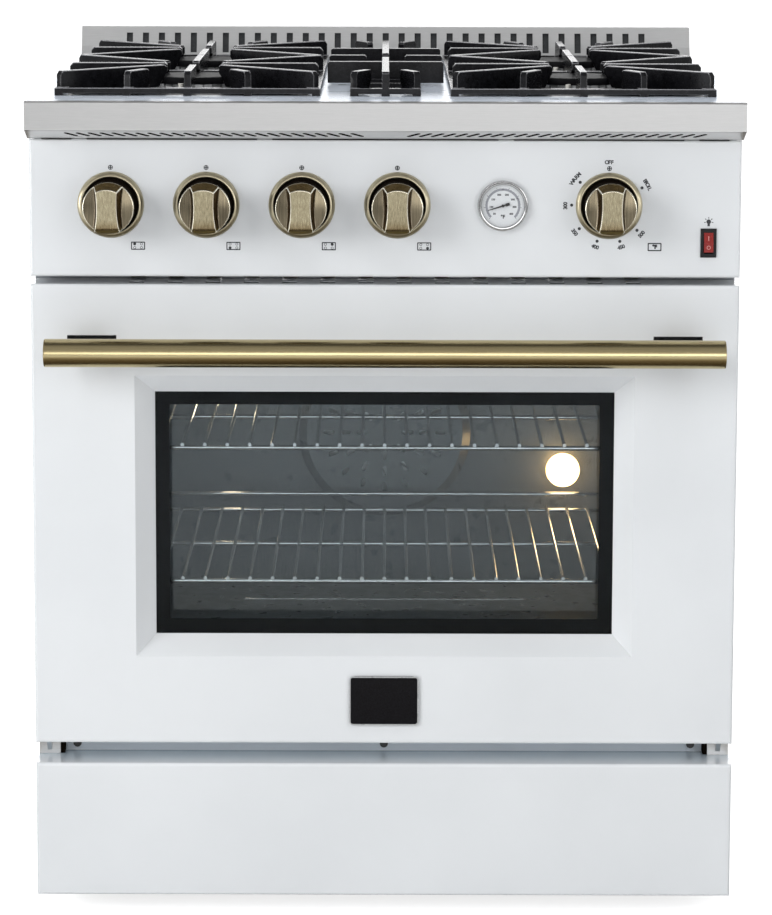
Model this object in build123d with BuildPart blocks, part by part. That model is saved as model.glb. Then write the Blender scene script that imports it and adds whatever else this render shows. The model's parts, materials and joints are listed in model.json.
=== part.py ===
"""Freestanding gas range, 30 in class, built as an assembly of separate pieces.

Millimetres. X runs across the front (right positive), Y runs from the front to the back,
Z is up. The origin is on the floor, at the centre of the plan of the whole appliance.
"""
import os
from math import atan2, cos, degrees, hypot, radians, sin

from build123d import *

os.makedirs("parts", exist_ok=True)

# ---------------------------------------------------------------- driving dimensions
# Overall
BODY_WIDTH = 757.0
TRIM_SIDE = 1.5              # trim and backguard stand this far past each side of the body
COOKTOP_HEIGHT = 900.0
RANGE_DEPTH = 711.0          # front of the cooktop trim to the back
TRIM_OVERHANG = 31.0         # trim stands this far ahead of the door and panel faces
HANDLE_STANDOFF = 66.0       # front of the handle bar ahead of the door face

# Sheet metal and fits
SHEET = 1.2                  # body panels
SIDE_LIP = 12.0              # folded edges of the side panels
CAVITY_WALL = 1.5
FIT = 0.3                    # clearance between pieces that slip together
SHAFT_FIT = 0.05             # radial clearance of a running shaft
FOLD_RADIUS = 3.0            # outside radius of the enamelled front panels

# Front elevation, from the floor up
KICK_BOTTOM = 28.5
KICK_HEIGHT = 148.0
DOOR_BOTTOM = 199.5
DOOR_HEIGHT = 503.0
DOOR_THICKNESS = 50.0
DOOR_GAP = 5.0               # between the door's back and the body front
PANEL_BOTTOM = 711.0
PANEL_HEIGHT = 147.0
TRIM_FACE_HEIGHT = 30.0
TRIM_LIP_DROP = 11.5         # sloped, slotted underside of the trim

# Feet and base
FOOT_RADIUS = 20.0
FOOT_PAD_HEIGHT = 8.0
FOOT_PAD_CHAMFER = 1.5
FOOT_HEXAGON = (10.0, 7.0)   # radius and height of the hexagon for a spanner
FOOT_NUT_RADIUS = 10.0       # threaded boss in the base rail
FOOT_NUT_HEIGHT = 14.0
FOOT_STEM_RADIUS = 5.0
FOOT_SETBACK = 97.0          # front edge of a foot behind the door face
FOOT_INSET = 37.0            # foot axis in from the side
FOOT_REAR_INSET = 60.0       # rear foot axis in from the back
FOOT_ENGAGEMENT = 18.0       # threaded stem above the base rail
BASE_BOTTOM = 36.0
BASE_RAIL_HEIGHT = 26.0
BASE_RAIL_WIDTH = 46.0
BASE_WALL = 2.0

# Oven
CAVITY_SIDE = 73.5           # side of the cavity in from the side of the body
CAVITY_HEIGHT = 388.0
CAVITY_FLOOR = 262.0
CAVITY_DEPTH = 464.0
CAVITY_CORNER = 12.0
INSULATION = 34.0
GASKET_WIDTH = 11.0
FLOOR_LIFT = 6.0             # removable floor above the cavity bottom
LAMP_RADIUS = 20.5
LAMP_INSET = 87.0            # lamp axis in from the side of the cavity
LAMP_HEIGHT = 408.5
FAN_COVER_RADIUS = 105.0
FAN_COVER_DEPTH = 30.0
FAN_RADIUS = 75.0
FAN_SHAFT_RADIUS = 4.0
FAN_HEIGHT = 456.0

# Racks
RACK_SIDE = 15.0             # side of a rack in from the side of the cavity
RACK_DEPTH = 396.0
RACK_SETBACK = 18.0          # front bar behind the body front
RACK_BAR_RADIUS = 3.0        # side bars; the cross bars are a little thinner
RACK_CROSS_RADIUS = 2.7
RACK_POST_RADIUS = 2.4
RACK_WIRE_RADIUS = 2.0
RACK_WIRE_PITCH = 24.6
RACK_LOWER = 364.0
RACK_UPPER = 513.0
RACK_GUARD_RISE = 20.0

# Door
WINDOW_SIDE = 110.25         # side of the window frame in from the side of the door
WINDOW_OUTER_BOTTOM = 296.3
WINDOW_OUTER_TOP = 604.0
BEVEL = 20.5                 # width and depth of the recessed window frame
GLASS = 4.0
GLASS_LAP = 8.0              # glass behind the edge that holds it
INNER_WINDOW_INSET = 7.0     # inner glass opening in from the outer one
HINGE_SETBACK = 24.0         # hinge pin behind the door face
HINGE_RISE = 5.4             # hinge pin above the door's bottom edge
HINGE_PIN_RADIUS = 4.0
HINGE_INSET = 11.5           # hinge plane in from the side of the body
HINGE_BRACKET_WIDTH = 23.0
HINGE_BRACKET_DEPTH = 15.0
HINGE_LUG = 5.0
HINGE_EAR = 4.0
HINGE_EYE_RADIUS = 7.0
BADGE_SIZE = (75.0, 54.0, 2.5)
BADGE_HEIGHT = 247.5

# Handle
HANDLE_SIDE = 19.0           # end of the bar in from the side of the door
HANDLE_RADIUS = 15.0
HANDLE_HEIGHT = 636.0
HANDLE_POST_INSET = 46.0     # post axis in from the end of the bar
HANDLE_POST_SIZE = (40.0, 12.0)
HANDLE_POST_REVEAL = (6.3, 7.5)  # dark gap between a post and its cut-out in the door skin
HANDLE_FLANGE = (8.0, 3.0)   # foot of a post behind the skin: width past the cut-out, thickness

# Controls
KNOB_INSET = 86.5            # first burner knob in from the side of the body
KNOB_ROOM = 112.2            # last burner knob to the thermometer
OVEN_KNOB_INSET = 140.5      # oven knob in from the side of the body
KNOB_RISE = 77.0             # knob axes above the control panel's bottom edge
BEZEL_RADIUS = 35.5
BEZEL_BORE = 29.0
BEZEL_PROUD = 6.0
BEZEL_CUP_DEPTH = 8.0
KNOB_RADIUS = 27.2
KNOB_SKIRT_LENGTH = 36.0     # skirt face ahead of the control panel
KNOB_LENGTH = 61.0           # grip face ahead of the control panel
KNOB_GRIP_TOP_RADIUS = 22.0  # upper end of the grip, at its face
KNOB_GRIP_SHOULDER = 54.0    # grip face ahead of the panel where it rolls down to the skirt
KNOB_WAIST_FACE = 20.0       # grip width at its waist, across the face
KNOB_WAIST_FOOT = 27.0       # and where it meets the skirt
KNOB_WAIST_RADIUS = 140.0
KNOB_PRESS = 3.0
KNOB_WALL = 3.0
KNOB_BOSS_RADIUS = 8.0
SPINDLE_RADIUS = 3.0
VALVE_PLUG_RADIUS = 6.0
THERMOMETER_ROOM = 113.0     # thermometer to the oven knob
THERMOMETER_RADIUS = 27.0
THERMOMETER_PROUD = 7.0
NEEDLE_LENGTH = 16.0
NEEDLE_ANGLE = 197.0         # needle at rest, counter-clockwise from +X seen from the front
SWITCH_INSET = 34.2          # switch in from the side of the body
SWITCH_RISE = 37.5           # switch above the control panel's bottom edge
SWITCH_SIZE = (17.0, 31.0)
ROCKER_SIZE = (10.0, 21.0)
ROCKER_TRAVEL = 14.0         # degrees
VALVE_SIZE = (26.0, 36.0, 30.0)
VALVE_SETBACK = 14.0         # front of a valve behind the panel face
VALVE_PLUG_LENGTH = 18.0
MANIFOLD_RADIUS = 9.0
TUBE_RADIUS = 4.0            # aluminium gas tube to a burner
GAS_LINE_RADIUS = 8.0
GAS_LINE_INSET = 43.5        # gas line in from the side of the body
GAS_INLET_RADIUS = 10.5
GAS_INLET_LENGTH = 26.0
GAS_INLET_HEIGHT = 110.0
POWER_INLET_RADIUS = 11.0
GAS_INLET_CLEAR = 9.0        # radial room around the gas inlet in the rear panel
LOUVRE_HEIGHT = 760.0
LOUVRE_SLOT = (44.0, 7.0)
LOUVRE_PITCH = (24.0, 60.0)
LOUVRE_COUNT = (18, 2)
VENT_SLOT = (16.0, 2.0)      # cooling slots above the oven door
VENT_PITCH = 41.0
VENT_COUNT = 14

# Cooktop
PAN_SKIRT = 22.0
BURNER_FRONT = 220.0         # behind the front of the trim
BURNER_SPACING = 276.0
BURNER_HEAD_RADIUS = 44.0
BURNER_HEAD_TOP = 5.5        # above the cooktop
BURNER_THROAT_RADIUS = 22.0
BURNER_PORTS = 24
CAP_RADIUS = 48.5
CAP_TOP = 13.0

# Grates, heights above the cooktop
GRATE_TOP = 26.5
GRATE_RAIL_TOP = 8.5
GRATE_RAIL_BOTTOM = 2.5
GRATE_RAIL_WIDTH = 9.0
GRATE_FINGER = 7.5
GRATE_SIDE = 23.0            # side grates in from the side of the body
GRATE_INNER_X = 70.0
GRATE_SETBACK = 80.0         # front of the grates behind the front of the trim
FINGER_TIP = 30.0            # finger ends, from the burner axis
DIAGONAL_TIP = 44.0
SIDE_FINGER_OFFSET = 65.0
SIDE_FINGER_LENGTH = 42.0
CENTER_GRATE_HALF = 38.0
CENTER_PLATE_HALF = 65.0
CENTER_PLATE_SETBACK = 28.0  # centre grate cross plates behind the front burner axis
GRATE_REST = 0.2             # film under a grate foot

# Backguard
BACKGUARD_HEIGHT = 39.5
BACKGUARD_LEAN = 16.0
BACKGUARD_SLOT = (7.7, 24.0)
BACKGUARD_SLOT_PITCH = 20.0
BACKGUARD_SLOTS = 33
BACKGUARD_SETBACK = 680.0    # foot of the backguard behind the front of the trim

# ---------------------------------------------------------------- derived planes
HALF = BODY_WIDTH / 2
TRIM_WIDTH = BODY_WIDTH + 2 * TRIM_SIDE
CAVITY_WIDTH = BODY_WIDTH - 2 * CAVITY_SIDE
LAMP_X = CAVITY_WIDTH / 2 - LAMP_INSET
RACK_WIDTH = CAVITY_WIDTH - 2 * RACK_SIDE
WINDOW_OUTER_WIDTH = BODY_WIDTH - 2 * WINDOW_SIDE
HANDLE_LENGTH = BODY_WIDTH - 2 * HANDLE_SIDE
HANDLE_POST_X = HANDLE_LENGTH / 2 - HANDLE_POST_INSET
KNOB_FIRST_X = KNOB_INSET - HALF
OVEN_KNOB_X = HALF - OVEN_KNOB_INSET
THERMOMETER_X = OVEN_KNOB_X - THERMOMETER_ROOM
KNOB_PITCH = (THERMOMETER_X - KNOB_ROOM - KNOB_FIRST_X) / 3
SWITCH_X = HALF - SWITCH_INSET
GAS_LINE_X = HALF - GAS_LINE_INSET
KNOB_HEIGHT = PANEL_BOTTOM + KNOB_RISE
SWITCH_HEIGHT = PANEL_BOTTOM + SWITCH_RISE
GRATE_OUTER_X = HALF - GRATE_SIDE
BURNER_X = (GRATE_OUTER_X + GRATE_INNER_X) / 2
HANDLE_REACH = HANDLE_STANDOFF - TRIM_OVERHANG
TRIM_Y = -(RANGE_DEPTH + HANDLE_REACH) / 2 + HANDLE_REACH
REAR_Y = TRIM_Y + RANGE_DEPTH
FACE_Y = TRIM_Y + TRIM_OVERHANG
DOOR_BACK_Y = FACE_Y + DOOR_THICKNESS
BODY_FRONT_Y = DOOR_BACK_Y + DOOR_GAP
FRONT_RETURN = BODY_FRONT_Y - FACE_Y
CAVITY_BACK_Y = BODY_FRONT_Y + CAVITY_DEPTH
KICK_TOP = KICK_BOTTOM + KICK_HEIGHT
DOOR_TOP = DOOR_BOTTOM + DOOR_HEIGHT
TRIM_FACE_BOTTOM = COOKTOP_HEIGHT - TRIM_FACE_HEIGHT
CAVITY_TOP = CAVITY_FLOOR + CAVITY_HEIGHT
CAVITY_BOTTOM = CAVITY_FLOOR - FLOOR_LIFT
BASE_TOP = BASE_BOTTOM + BASE_RAIL_HEIGHT
WINDOW_MID_Z = (WINDOW_OUTER_TOP + WINDOW_OUTER_BOTTOM) / 2
WINDOW_OUTER = (WINDOW_OUTER_WIDTH, WINDOW_OUTER_TOP - WINDOW_OUTER_BOTTOM)
WINDOW_INNER = (WINDOW_OUTER[0] - 2 * BEVEL, WINDOW_OUTER[1] - 2 * BEVEL)
PIN_Y = FACE_Y + HINGE_SETBACK
PIN_Z = DOOR_BOTTOM + HINGE_RISE
HINGE_X = HALF - HINGE_INSET
KNOB_X = {
    "rear_left": KNOB_FIRST_X,
    "front_left": KNOB_FIRST_X + KNOB_PITCH,
    "rear_right": KNOB_FIRST_X + 2 * KNOB_PITCH,
    "front_right": KNOB_FIRST_X + 3 * KNOB_PITCH,
    "oven": OVEN_KNOB_X,
}
BURNER_FRONT_Y = TRIM_Y + BURNER_FRONT
BURNER_REAR_Y = BURNER_FRONT_Y + BURNER_SPACING
BURNERS = {
    "rear_left": (-BURNER_X, BURNER_REAR_Y),
    "front_left": (-BURNER_X, BURNER_FRONT_Y),
    "rear_right": (BURNER_X, BURNER_REAR_Y),
    "front_right": (BURNER_X, BURNER_FRONT_Y),
}
GRATE_FRONT_Y = TRIM_Y + GRATE_SETBACK
GRATE_MID_Y = (BURNER_FRONT_Y + BURNER_REAR_Y) / 2
GRATE_REAR_Y = 2 * GRATE_MID_Y - GRATE_FRONT_Y
RACK_FRONT_Y = BODY_FRONT_Y + RACK_SETBACK
RACK_REAR_Y = RACK_FRONT_Y + RACK_DEPTH
BACKGUARD_Y = TRIM_Y + BACKGUARD_SETBACK
VALVE_Y = (FACE_Y + VALVE_SETBACK, FACE_Y + VALVE_SETBACK + VALVE_SIZE[1])
MANIFOLD_Z = KNOB_HEIGHT - VALVE_SIZE[2] / 2 - MANIFOLD_RADIUS


# ---------------------------------------------------------------- helpers
def save(piece, name):
    """Label a finished piece and write its STEP file."""
    piece.label = name
    export_step(piece, f"parts/{name}.step")
    print(f"{name:22s} solids {len(piece.solids()):2d}")


def front_plane(y):
    """A plane across the range at depth y; its normal points to the front."""
    return Plane.XZ.offset(-y)


def block(x, y, z):
    """A box given by its (low, high) limits, made in the part block it is called from."""
    with Locations(((x[0] + x[1]) / 2, (y[0] + y[1]) / 2, (z[0] + z[1]) / 2)):
        Box(x[1] - x[0], y[1] - y[0], z[1] - z[0])


def cut_block(x, y, z):
    """Cut a box given by its (low, high) limits from the part block it is called from."""
    with Locations(((x[0] + x[1]) / 2, (y[0] + y[1]) / 2, (z[0] + z[1]) / 2)):
        Box(x[1] - x[0], y[1] - y[0], z[1] - z[0], mode=Mode.SUBTRACT)


def rod(center, radius, length, rotation=(0, 0, 0), mode=Mode.ADD):
    """A round bar centred on a point; rotation turns its axis away from Z."""
    with Locations(center):
        Cylinder(radius, length, rotation=rotation, mode=mode)


ALONG_X = (0, 90, 0)
ALONG_Y = (90, 0, 0)


def front_tray(width, height, bottom, depth, radius=FOLD_RADIUS):
    """An enamelled front panel: face at FACE_Y, folded back on all four sides."""
    middle = bottom + height / 2
    with BuildPart() as core:
        with Locations((0, FACE_Y + depth / 2 + SHEET, middle)):
            Box(width - 2 * SHEET, depth, height - 2 * SHEET)
        fillet(core.faces().sort_by(Axis.Y)[0].edges(), max(radius - SHEET, 0.4))
    with BuildPart() as tray:
        with Locations((0, FACE_Y + depth / 2, middle)):
            Box(width, depth, height)
        fillet(tray.faces().sort_by(Axis.Y)[0].edges(), radius)
        add(core.part, mode=Mode.SUBTRACT)
    return tray.part


def tube_along(points, radius, bend):
    """A round tube along straight runs with rounded bends."""
    with BuildPart() as tube:
        with BuildLine() as path:
            FilletPolyline(*points, radius=bend)
        start = Plane(origin=path.line @ 0, z_dir=path.line % 0)
        with BuildSketch(start):
            Circle(radius)
        sweep(path=path.line)
    return tube.part


# ---------------------------------------------------------------- body shell
for side, name in ((-1, "side_panel_left"), (1, "side_panel_right")):
    outer = side * HALF
    inner = side * (HALF - SHEET)
    lip = side * (HALF - SIDE_LIP)
    wall = tuple(sorted((outer, inner)))
    flange = tuple(sorted((outer, lip)))
    height = (KICK_BOTTOM, COOKTOP_HEIGHT - PAN_SKIRT)
    with BuildPart() as panel:
        block(wall, (BODY_FRONT_Y + SHEET, REAR_Y - SHEET), height)
        block(flange, (BODY_FRONT_Y + SHEET, BODY_FRONT_Y + 2 * SHEET), height)
        block(flange, (REAR_Y - 2 * SHEET, REAR_Y - SHEET), height)
        block(flange, (BODY_FRONT_Y + SHEET, REAR_Y - SHEET), (BASE_TOP, BASE_TOP + SHEET))
    save(panel.part, name)

with BuildPart() as rear_panel:
    block((-HALF, HALF), (REAR_Y - SHEET, REAR_Y), (BASE_BOTTOM, COOKTOP_HEIGHT - PAN_SKIRT))
    rod((-GAS_LINE_X, REAR_Y, GAS_INLET_HEIGHT), GAS_INLET_RADIUS + GAS_INLET_CLEAR, 4 * SHEET,
        ALONG_Y, Mode.SUBTRACT)
    rod((GAS_LINE_X, REAR_Y, GAS_INLET_HEIGHT), POWER_INLET_RADIUS, 4 * SHEET, ALONG_Y,
        Mode.SUBTRACT)
    with BuildSketch(front_plane(REAR_Y)):
        with Locations((0, LOUVRE_HEIGHT)):
            with GridLocations(*LOUVRE_PITCH, *LOUVRE_COUNT):
                SlotOverall(*LOUVRE_SLOT, rotation=90)
    extrude(amount=2 * SHEET, mode=Mode.SUBTRACT)
save(rear_panel.part, "rear_panel")

FOOT_FRONT_Y = FACE_Y + FOOT_SETBACK + FOOT_RADIUS
FOOT_REAR_Y = REAR_Y - FOOT_REAR_INSET
FOOT_X = HALF - FOOT_INSET
SIDE_RAIL_X = (FOOT_X - BASE_RAIL_WIDTH / 2, HALF - SHEET)
CHANNEL_Y = (BODY_FRONT_Y + 2 * SHEET, REAR_Y - 2 * SHEET)
INSIDE_TOP = BASE_TOP - BASE_WALL
with BuildPart() as base_frame:
    for side in (-1, 1):
        block(sorted(side * x for x in SIDE_RAIL_X), CHANNEL_Y, (BASE_BOTTOM, BASE_TOP))
    for y in (FOOT_FRONT_Y, FOOT_REAR_Y):
        cross = (y - BASE_RAIL_WIDTH / 2, y + BASE_RAIL_WIDTH / 2)
        block((-FOOT_X, FOOT_X), cross, (BASE_BOTTOM, BASE_TOP))
    for side in (-1, 1):
        inside = (SIDE_RAIL_X[0] + BASE_WALL, SIDE_RAIL_X[1] - BASE_WALL)
        cut_block(sorted(side * x for x in inside), (CHANNEL_Y[0] + BASE_WALL, CHANNEL_Y[1] - BASE_WALL),
                  (BASE_BOTTOM - 1, INSIDE_TOP))
    for y in (FOOT_FRONT_Y, FOOT_REAR_Y):
        inside = (y - BASE_RAIL_WIDTH / 2 + BASE_WALL, y + BASE_RAIL_WIDTH / 2 - BASE_WALL)
        cut_block((-FOOT_X, FOOT_X), inside, (BASE_BOTTOM - 1, INSIDE_TOP))
    for x in (-FOOT_X, FOOT_X):
        for y in (FOOT_FRONT_Y, FOOT_REAR_Y):
            rod((x, y, BASE_TOP - FOOT_NUT_HEIGHT / 2), FOOT_NUT_RADIUS, FOOT_NUT_HEIGHT)
            rod((x, y, BASE_BOTTOM), FOOT_STEM_RADIUS + SHAFT_FIT, 4 * BASE_RAIL_HEIGHT,
                mode=Mode.SUBTRACT)
save(base_frame.part, "base_frame")

for depth_name, y in (("front", FOOT_FRONT_Y), ("rear", FOOT_REAR_Y)):
    for side_name, side in (("left", -1), ("right", 1)):
        with BuildPart() as foot:
            with Locations((side * FOOT_X, y, FOOT_PAD_HEIGHT / 2)):
                Cylinder(FOOT_RADIUS, FOOT_PAD_HEIGHT)
            chamfer(foot.edges().filter_by(GeomType.CIRCLE), FOOT_PAD_CHAMFER)
            top = BASE_TOP + FOOT_ENGAGEMENT
            rod((side * FOOT_X, y, (FOOT_PAD_HEIGHT + top) / 2), FOOT_STEM_RADIUS,
                top - FOOT_PAD_HEIGHT)
            with BuildSketch(Plane.XY.offset(FOOT_PAD_HEIGHT)):
                with Locations((side * FOOT_X, y)):
                    RegularPolygon(FOOT_HEXAGON[0], 6)
            extrude(amount=FOOT_HEXAGON[1])
        save(foot.part, f"foot_{depth_name}_{side_name}")

with BuildPart() as kick_panel:
    add(front_tray(BODY_WIDTH, KICK_HEIGHT, KICK_BOTTOM, FRONT_RETURN))
save(kick_panel.part, "kick_panel")

with BuildPart() as oven_front_frame:
    frame_y = (BODY_FRONT_Y, BODY_FRONT_Y + SHEET)
    block((-HALF, HALF), frame_y, (BASE_BOTTOM, COOKTOP_HEIGHT - PAN_SKIRT))
    with BuildSketch(front_plane(BODY_FRONT_Y)):
        with Locations((0, (CAVITY_BOTTOM + CAVITY_TOP) / 2)):
            RectangleRounded(CAVITY_WIDTH, CAVITY_TOP - CAVITY_BOTTOM, CAVITY_CORNER)
        with Locations((0, DOOR_TOP + VENT_SLOT[1] / 2)):
            with GridLocations(VENT_PITCH, 1, VENT_COUNT, 1):
                Rectangle(*VENT_SLOT)
        with Locations(*((x, KNOB_HEIGHT) for x in KNOB_X.values())):
            Circle(TUBE_RADIUS + 4)
        with Locations((-GAS_LINE_X, MANIFOLD_Z)):
            Circle(GAS_LINE_RADIUS + 2)
    extrude(amount=-SHEET, mode=Mode.SUBTRACT)
save(oven_front_frame.part, "oven_front_frame")

# ---------------------------------------------------------------- oven cavity
CAVITY_Y = (BODY_FRONT_Y + SHEET, CAVITY_BACK_Y + CAVITY_WALL)
CAVITY_MID_Z = (CAVITY_BOTTOM + CAVITY_TOP) / 2
CAVITY_OPENING = (CAVITY_WIDTH, CAVITY_TOP - CAVITY_BOTTOM)
CAVITY_OUTSIDE = (CAVITY_OPENING[0] + 2 * CAVITY_WALL, CAVITY_OPENING[1] + 2 * CAVITY_WALL)
BAKE_PORT = (180.0, 330.0)
BAKE_PORT_Y = (BODY_FRONT_Y + CAVITY_BACK_Y) / 2
LAMP_SOCKET_RADIUS = 15.0
MOTOR_RADIUS = 38.0
with BuildPart() as oven_cavity:
    with BuildSketch(front_plane(CAVITY_Y[0])):
        with Locations((0, CAVITY_MID_Z)):
            RectangleRounded(*CAVITY_OUTSIDE, CAVITY_CORNER + CAVITY_WALL)
    extrude(amount=CAVITY_Y[0] - CAVITY_Y[1])
    with BuildSketch(front_plane(CAVITY_Y[0])):
        with Locations((0, CAVITY_MID_Z)):
            RectangleRounded(*CAVITY_OPENING, CAVITY_CORNER)
    extrude(amount=CAVITY_Y[0] - CAVITY_BACK_Y, mode=Mode.SUBTRACT)
    rod((0, CAVITY_BACK_Y, FAN_HEIGHT), FAN_SHAFT_RADIUS + 3, 20, ALONG_Y, Mode.SUBTRACT)
    rod((LAMP_X, CAVITY_BACK_Y, LAMP_HEIGHT), LAMP_SOCKET_RADIUS + FIT, 20, ALONG_Y, Mode.SUBTRACT)
    with Locations((0, BAKE_PORT_Y, CAVITY_BOTTOM)):
        Box(*BAKE_PORT, 20, mode=Mode.SUBTRACT)
save(oven_cavity.part, "oven_cavity")

with BuildPart() as oven_insulation:
    wrap = (CAVITY_OUTSIDE[0] + 2 * INSULATION, CAVITY_OUTSIDE[1] + INSULATION)
    with BuildSketch(front_plane(CAVITY_Y[0])):
        with Locations((0, CAVITY_MID_Z + INSULATION / 2)):
            RectangleRounded(*wrap, CAVITY_CORNER)
    extrude(amount=CAVITY_Y[0] - CAVITY_Y[1] - INSULATION)
    with BuildSketch(front_plane(CAVITY_Y[0])):
        with Locations((0, CAVITY_MID_Z)):
            RectangleRounded(*CAVITY_OUTSIDE, CAVITY_CORNER + CAVITY_WALL)
        with Locations((0, CAVITY_MID_Z - CAVITY_OUTSIDE[1] / 2)):
            Rectangle(CAVITY_OUTSIDE[0], 2 * CAVITY_CORNER + 2 * CAVITY_WALL)
    extrude(amount=CAVITY_Y[0] - CAVITY_Y[1], mode=Mode.SUBTRACT)
    back = CAVITY_Y[1] + INSULATION / 2
    rod((0, back, FAN_HEIGHT), MOTOR_RADIUS + 2, 2 * INSULATION, ALONG_Y, Mode.SUBTRACT)
    rod((LAMP_X, back, LAMP_HEIGHT), LAMP_SOCKET_RADIUS + 4, 2 * INSULATION, ALONG_Y,
        Mode.SUBTRACT)
save(oven_insulation.part, "oven_insulation")

FLOOR_MARGIN = 3.0
with BuildPart() as oven_floor:
    floor_x = CAVITY_WIDTH / 2 - FLOOR_MARGIN
    floor_y = (BODY_FRONT_Y + SHEET + FLOOR_MARGIN, CAVITY_BACK_Y - FLOOR_MARGIN)
    block((-floor_x, floor_x), floor_y, (CAVITY_FLOOR - CAVITY_WALL, CAVITY_FLOOR))
    for x in (-floor_x, floor_x - CAVITY_WALL):
        leg_y = (floor_y[0], floor_y[1])
        block((x, x + CAVITY_WALL), leg_y, (CAVITY_BOTTOM + CAVITY_CORNER * 0.4, CAVITY_FLOOR))
    for y in (floor_y[0], floor_y[1] - CAVITY_WALL):
        block((-floor_x + CAVITY_CORNER, floor_x - CAVITY_CORNER), (y, y + CAVITY_WALL),
              (CAVITY_BOTTOM, CAVITY_FLOOR))
    with Locations((0, BAKE_PORT_Y, CAVITY_FLOOR)):
        with GridLocations(CAVITY_WIDTH - 60, 36, 2, 9):
            Box(10, 22, 20, mode=Mode.SUBTRACT)
save(oven_floor.part, "oven_floor")

BURNER_TUBE_RADIUS = 11.0
BROIL_Z = CAVITY_TOP - BURNER_TUBE_RADIUS - 6
BAKE_Z = CAVITY_BOTTOM - CAVITY_WALL - BURNER_TUBE_RADIUS - 8
with BuildPart() as oven_burners:
    for z in (BROIL_Z, BAKE_Z):
        rod((0, BAKE_PORT_Y, z), BURNER_TUBE_RADIUS, BAKE_PORT[1] - 20, ALONG_Y)
        for side in (-1, 1):
            seat_high = CAVITY_TOP if z == BROIL_Z else CAVITY_BOTTOM - CAVITY_WALL
            y = BAKE_PORT_Y + side * (BAKE_PORT[1] / 2 + 4)
            block((-12, 12), sorted((y, y - side * 22)), (z - 4, z + 4))
            block((-12, 12), sorted((y, y + side * 3)), (z - 4, seat_high))
save(oven_burners.part, "oven_burners")

with BuildPart() as fan_cover:
    cover_front = CAVITY_BACK_Y - FAN_COVER_DEPTH
    with BuildSketch(front_plane(CAVITY_BACK_Y)):
        with Locations((0, FAN_HEIGHT)):
            Circle(FAN_COVER_RADIUS)
    extrude(amount=FAN_COVER_DEPTH)
    chamfer(fan_cover.faces().sort_by(Axis.Y)[0].edges(), 10)
    with BuildSketch(front_plane(CAVITY_BACK_Y)):
        with Locations((0, FAN_HEIGHT)):
            Circle(FAN_COVER_RADIUS - 12)
    extrude(amount=FAN_COVER_DEPTH - CAVITY_WALL, mode=Mode.SUBTRACT)
    with BuildSketch(front_plane(cover_front)):
        with Locations((0, FAN_HEIGHT)):
            for ring_radius, ring_slots in ((28, 8), (48, 12), (68, 16)):
                with PolarLocations(ring_radius, ring_slots):
                    SlotOverall(13, 5)
    extrude(amount=-2 * CAVITY_WALL, mode=Mode.SUBTRACT)
save(fan_cover.part, "fan_cover")

MOTOR_Y = (CAVITY_Y[1] + 4, CAVITY_Y[1] + 64)
with BuildPart() as fan_motor:
    rod((0, sum(MOTOR_Y) / 2, FAN_HEIGHT), MOTOR_RADIUS, MOTOR_Y[1] - MOTOR_Y[0], ALONG_Y)
    rod((0, sum(MOTOR_Y) / 2, FAN_HEIGHT), FAN_SHAFT_RADIUS + SHAFT_FIT, 90, ALONG_Y, Mode.SUBTRACT)
    for angle in (0, 120, 240):
        x = (MOTOR_RADIUS - 6) * cos(radians(angle + 90))
        z = FAN_HEIGHT + (MOTOR_RADIUS - 6) * sin(radians(angle + 90))
        rod((x, (CAVITY_Y[1] + MOTOR_Y[0]) / 2, z), 4, MOTOR_Y[0] - CAVITY_Y[1], ALONG_Y)
save(fan_motor.part, "fan_motor")

FAN_BLADE_Y = (CAVITY_BACK_Y - FAN_COVER_DEPTH + 8, CAVITY_BACK_Y - 5)
with BuildPart() as fan_blade:
    rod((0, FAN_BLADE_Y[1] - 1, FAN_HEIGHT), FAN_RADIUS, 2, ALONG_Y)
    with BuildSketch(front_plane(FAN_BLADE_Y[1])):
        with Locations((0, FAN_HEIGHT)):
            with PolarLocations(FAN_RADIUS - 20, 12):
                Rectangle(32, 2, rotation=25)
    extrude(amount=FAN_BLADE_Y[1] - FAN_BLADE_Y[0])
    shaft = (FAN_BLADE_Y[0], MOTOR_Y[1] - 6)
    rod((0, sum(shaft) / 2, FAN_HEIGHT), FAN_SHAFT_RADIUS, shaft[1] - shaft[0], ALONG_Y)
save(fan_blade.part, "fan_blade")

with BuildPart() as oven_lamp:
    lamp_y = CAVITY_BACK_Y - LAMP_RADIUS - 1.5
    with Locations((LAMP_X, lamp_y, LAMP_HEIGHT)):
        Sphere(LAMP_RADIUS)
    socket = (lamp_y, CAVITY_Y[1] + INSULATION + 12)
    rod((LAMP_X, sum(socket) / 2, LAMP_HEIGHT), LAMP_SOCKET_RADIUS, socket[1] - socket[0], ALONG_Y)
save(oven_lamp.part, "oven_lamp")

with BuildPart() as door_gasket:
    with BuildSketch(front_plane(BODY_FRONT_Y)):
        with Locations((0, CAVITY_MID_Z)):
            RectangleRounded(CAVITY_OPENING[0] + 2 * GASKET_WIDTH + 6,
                             CAVITY_OPENING[1] + 2 * GASKET_WIDTH + 6, CAVITY_CORNER + 14)
            RectangleRounded(CAVITY_OPENING[0] + 6, CAVITY_OPENING[1] + 6, CAVITY_CORNER + 3,
                             mode=Mode.SUBTRACT)
    extrude(amount=DOOR_GAP - FIT)
    chamfer(door_gasket.faces().sort_by(Axis.Y)[0].edges(), 1.5)
save(door_gasket.part, "door_gasket")

# ---------------------------------------------------------------- oven racks
GUIDE_RADIUS = 2.5
GUIDE_Y = (BODY_FRONT_Y + 30, CAVITY_BACK_Y - 25)
RACK_LEVELS = (RACK_LOWER, RACK_UPPER)


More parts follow.
